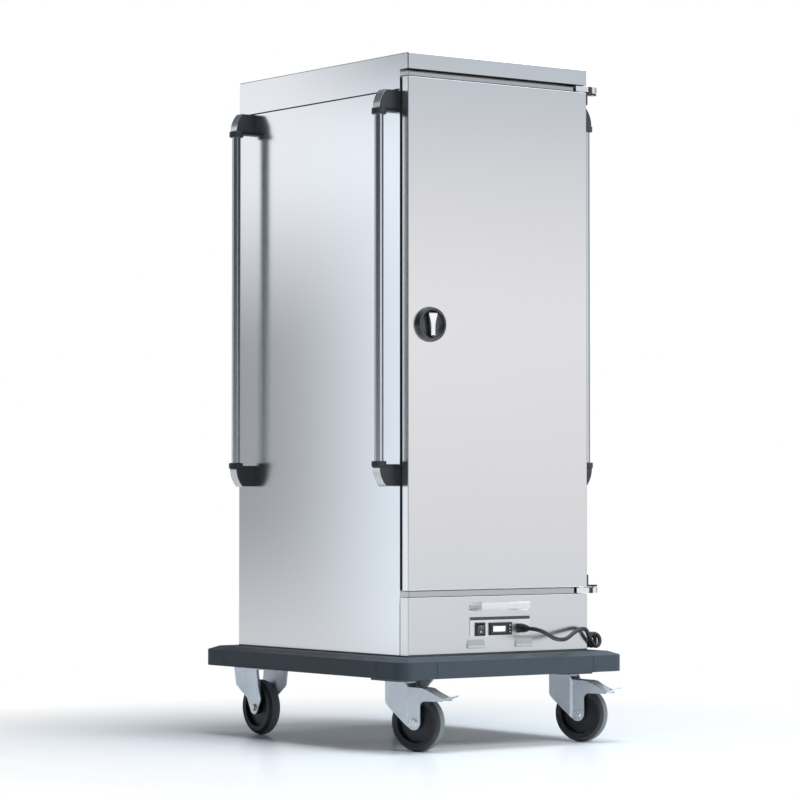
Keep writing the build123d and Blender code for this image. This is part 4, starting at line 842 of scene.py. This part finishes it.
# Studio cards: each shade function gives the strength and how cool it is
# A grade below is the values at its start and end, then the start and end in metres

WARM = (1.025, 1.0, 1.0)
COOL = (0.93, 1.0, 1.075)
DOOR_STOPS = [(0.0, 0.78), (0.12, 0.84), (0.48, 0.97), (0.66, 0.86), (0.84, 0.66), (1.0, 0.55)]
DOOR_STOPS_HEIGHT = 3.0
DOOR_COOL_ABOVE = (0.0, 1.0, 1.9, 2.6)
DOOR_COOL_BELOW = (1.0, 0.0, 0.15, 0.45)


def door_shade(tree, parts):
    """Shade of the card that the door and the plinth mirror, graded by height."""
    height = spread(tree, parts.outputs["Z"], 0.0, 1.0, 0.0, DOOR_STOPS_HEIGHT)
    shade = ramp(tree, height, [(position, (grey, grey, grey)) for position, grey in DOOR_STOPS])
    above = spread(tree, parts.outputs["Z"], *DOOR_COOL_ABOVE)
    below = spread(tree, parts.outputs["Z"], *DOOR_COOL_BELOW)
    return shade, joined(tree, "MAXIMUM", above, below)


SIDE_ACROSS = (1.19, 0.29, 3.27, 4.06)
SIDE_ABOVE = (0.30, 1.12, 1.35, 2.05)
SIDE_BELOW = (0.78, 0.34, 0.0, 0.60)
SIDE_CUT_HIGH = (0.0, 1.0, 2.28, 2.50)
SIDE_CUT_FRONT = (0.72, 0.0, 3.30, 4.10)
SIDE_COOL = (1.0, 0.3, 3.27, 3.90)


def side_shade(tree, parts):
    """Shade of the card that the side mirrors: bright in front and above, grey towards the back."""
    across = spread(tree, parts.outputs["Y"], *SIDE_ACROSS)
    above = spread(tree, parts.outputs["Z"], *SIDE_ABOVE)
    below = spread(tree, parts.outputs["Z"], *SIDE_BELOW)
    base = joined(tree, "MAXIMUM", joined(tree, "MAXIMUM", across, above), below)
    high = spread(tree, parts.outputs["Z"], *SIDE_CUT_HIGH)
    front = spread(tree, parts.outputs["Y"], *SIDE_CUT_FRONT)
    kept = spread(tree, joined(tree, "MULTIPLY", high, front), 1.0, 0.0, 0.0, 1.0)
    return joined(tree, "MULTIPLY", base, kept), spread(tree, parts.outputs["Y"], *SIDE_COOL)


FLAG_GRADE = (0.16, 0.30, 0.0, 1.2)
SKY_GRADE = (0.6, 2.8, -1.0, 2.0)


def flag_shade(tree, parts):
    """Dark grey of the small card on the right that the grip recess mirrors."""
    shade = spread(tree, parts.outputs["Z"], *FLAG_GRADE)
    return shade, shade


def sky_shade(tree, parts):
    """Shade of the card overhead that the rounded edges mirror, brighter to the right."""
    shade = spread(tree, parts.outputs["X"], *SKY_GRADE)
    return shade, shade


def reflector(name, low, high, shade):
    """Studio card seen only in reflections."""
    made, tree, _ = material(name, (0.0, 0.0, 0.0), 0.0, 1.0)
    place = node(tree, "ShaderNodeTexCoord")
    parts = node(tree, "ShaderNodeSeparateXYZ")
    tree.links.new(place.outputs["Object"], parts.inputs["Vector"])
    glow = node(tree, "ShaderNodeEmission")
    strength, cool = shade(tree, parts)
    tree.links.new(tint(tree, cool, WARM, COOL), glow.inputs["Color"])
    tree.links.new(strength, glow.inputs["Strength"])
    tree.links.new(glow.outputs["Emission"], tree.nodes["Material Output"].inputs["Surface"])
    card = flat_sheet(name, low, high, made)
    card.visible_camera = False
    card.visible_shadow = False
    card.visible_diffuse = False


def black_flag(name, low, high):
    """Black card that keeps soft light off a side, out of every picture and reflection."""
    made, _, _ = material("black_flag", (0.0, 0.0, 0.0), 0.0, 1.0)
    card = flat_sheet(name, low, high, made)
    card.visible_camera = False
    card.visible_shadow = False
    card.visible_glossy = False


# Lamps and camera: places and sizes in metres, powers in watts

def soft_light(name, place, aim, size, power):
    """Soft lamp that lights the plastics and the floor and isn't mirrored."""
    data = bpy.data.lights.new(name, "AREA")
    data.shape = "RECTANGLE"
    data.size, data.size_y = size
    data.energy = power
    lamp = bpy.data.objects.new(name, data)
    scene.collection.objects.link(lamp)
    lamp.location = place
    lamp.visible_glossy = False
    lamp.rotation_euler = (Vector(aim) - Vector(place)).to_track_quat("-Z", "Y").to_euler()


CAMERA_LENS = 141.45
CAMERA_SENSOR = 36.0
CAMERA_REACH = 200.0
CAMERA_PLACE = (-5.3875, -7.2679, 0.7054)
CAMERA_HEADING = math.radians(36.36)
CAMERA_PITCH = 0.0293


def photo_camera():
    """Camera of the photograph: place, heading, upward pitch and focal length from the fit."""
    data = bpy.data.cameras.new("camera")
    data.lens = CAMERA_LENS
    data.sensor_width = CAMERA_SENSOR
    data.clip_end = CAMERA_REACH
    camera = bpy.data.objects.new("camera", data)
    scene.collection.objects.link(camera)
    camera.location = CAMERA_PLACE
    ahead = Vector((math.sin(CAMERA_HEADING), math.cos(CAMERA_HEADING), math.tan(CAMERA_PITCH)))
    camera.rotation_euler = ahead.to_track_quat("-Z", "Y").to_euler()
    scene.camera = camera


stage_floor()
stage_world()
reflector("door_card", low=(-0.6, -4.0, 0.0), high=(4.6, -4.0, 3.6), shade=door_shade)
reflector("side_card", low=(-3.0, 2.2, 0.0), high=(-3.0, 5.4, 3.6), shade=side_shade)
reflector("right_flag", low=(4.0, -2.6, 0.0), high=(4.0, -1.0, 1.2), shade=flag_shade)
reflector("sky_card", low=(-1.0, -3.0, 4.6), high=(6.0, 3.0, 4.6), shade=sky_shade)
black_flag("left_flag", low=(-1.3, -0.9, 0.1), high=(-1.3, 0.7, 1.2))
soft_light("key", place=(0.7, -5.0, 4.6), aim=(0.0, 0.0, 0.6), size=(2.2, 2.2), power=330.0)
soft_light("low", place=(4.4, -3.2, 1.0), aim=(0.2, -0.3, 0.2), size=(1.6, 1.2), power=110.0)
soft_light("top", place=(0.1, -1.2, 5.0), aim=(0.0, 0.0, 0.6), size=(2.4, 2.4), power=230.0)
photo_camera()
scene.view_settings.view_transform = "Standard"
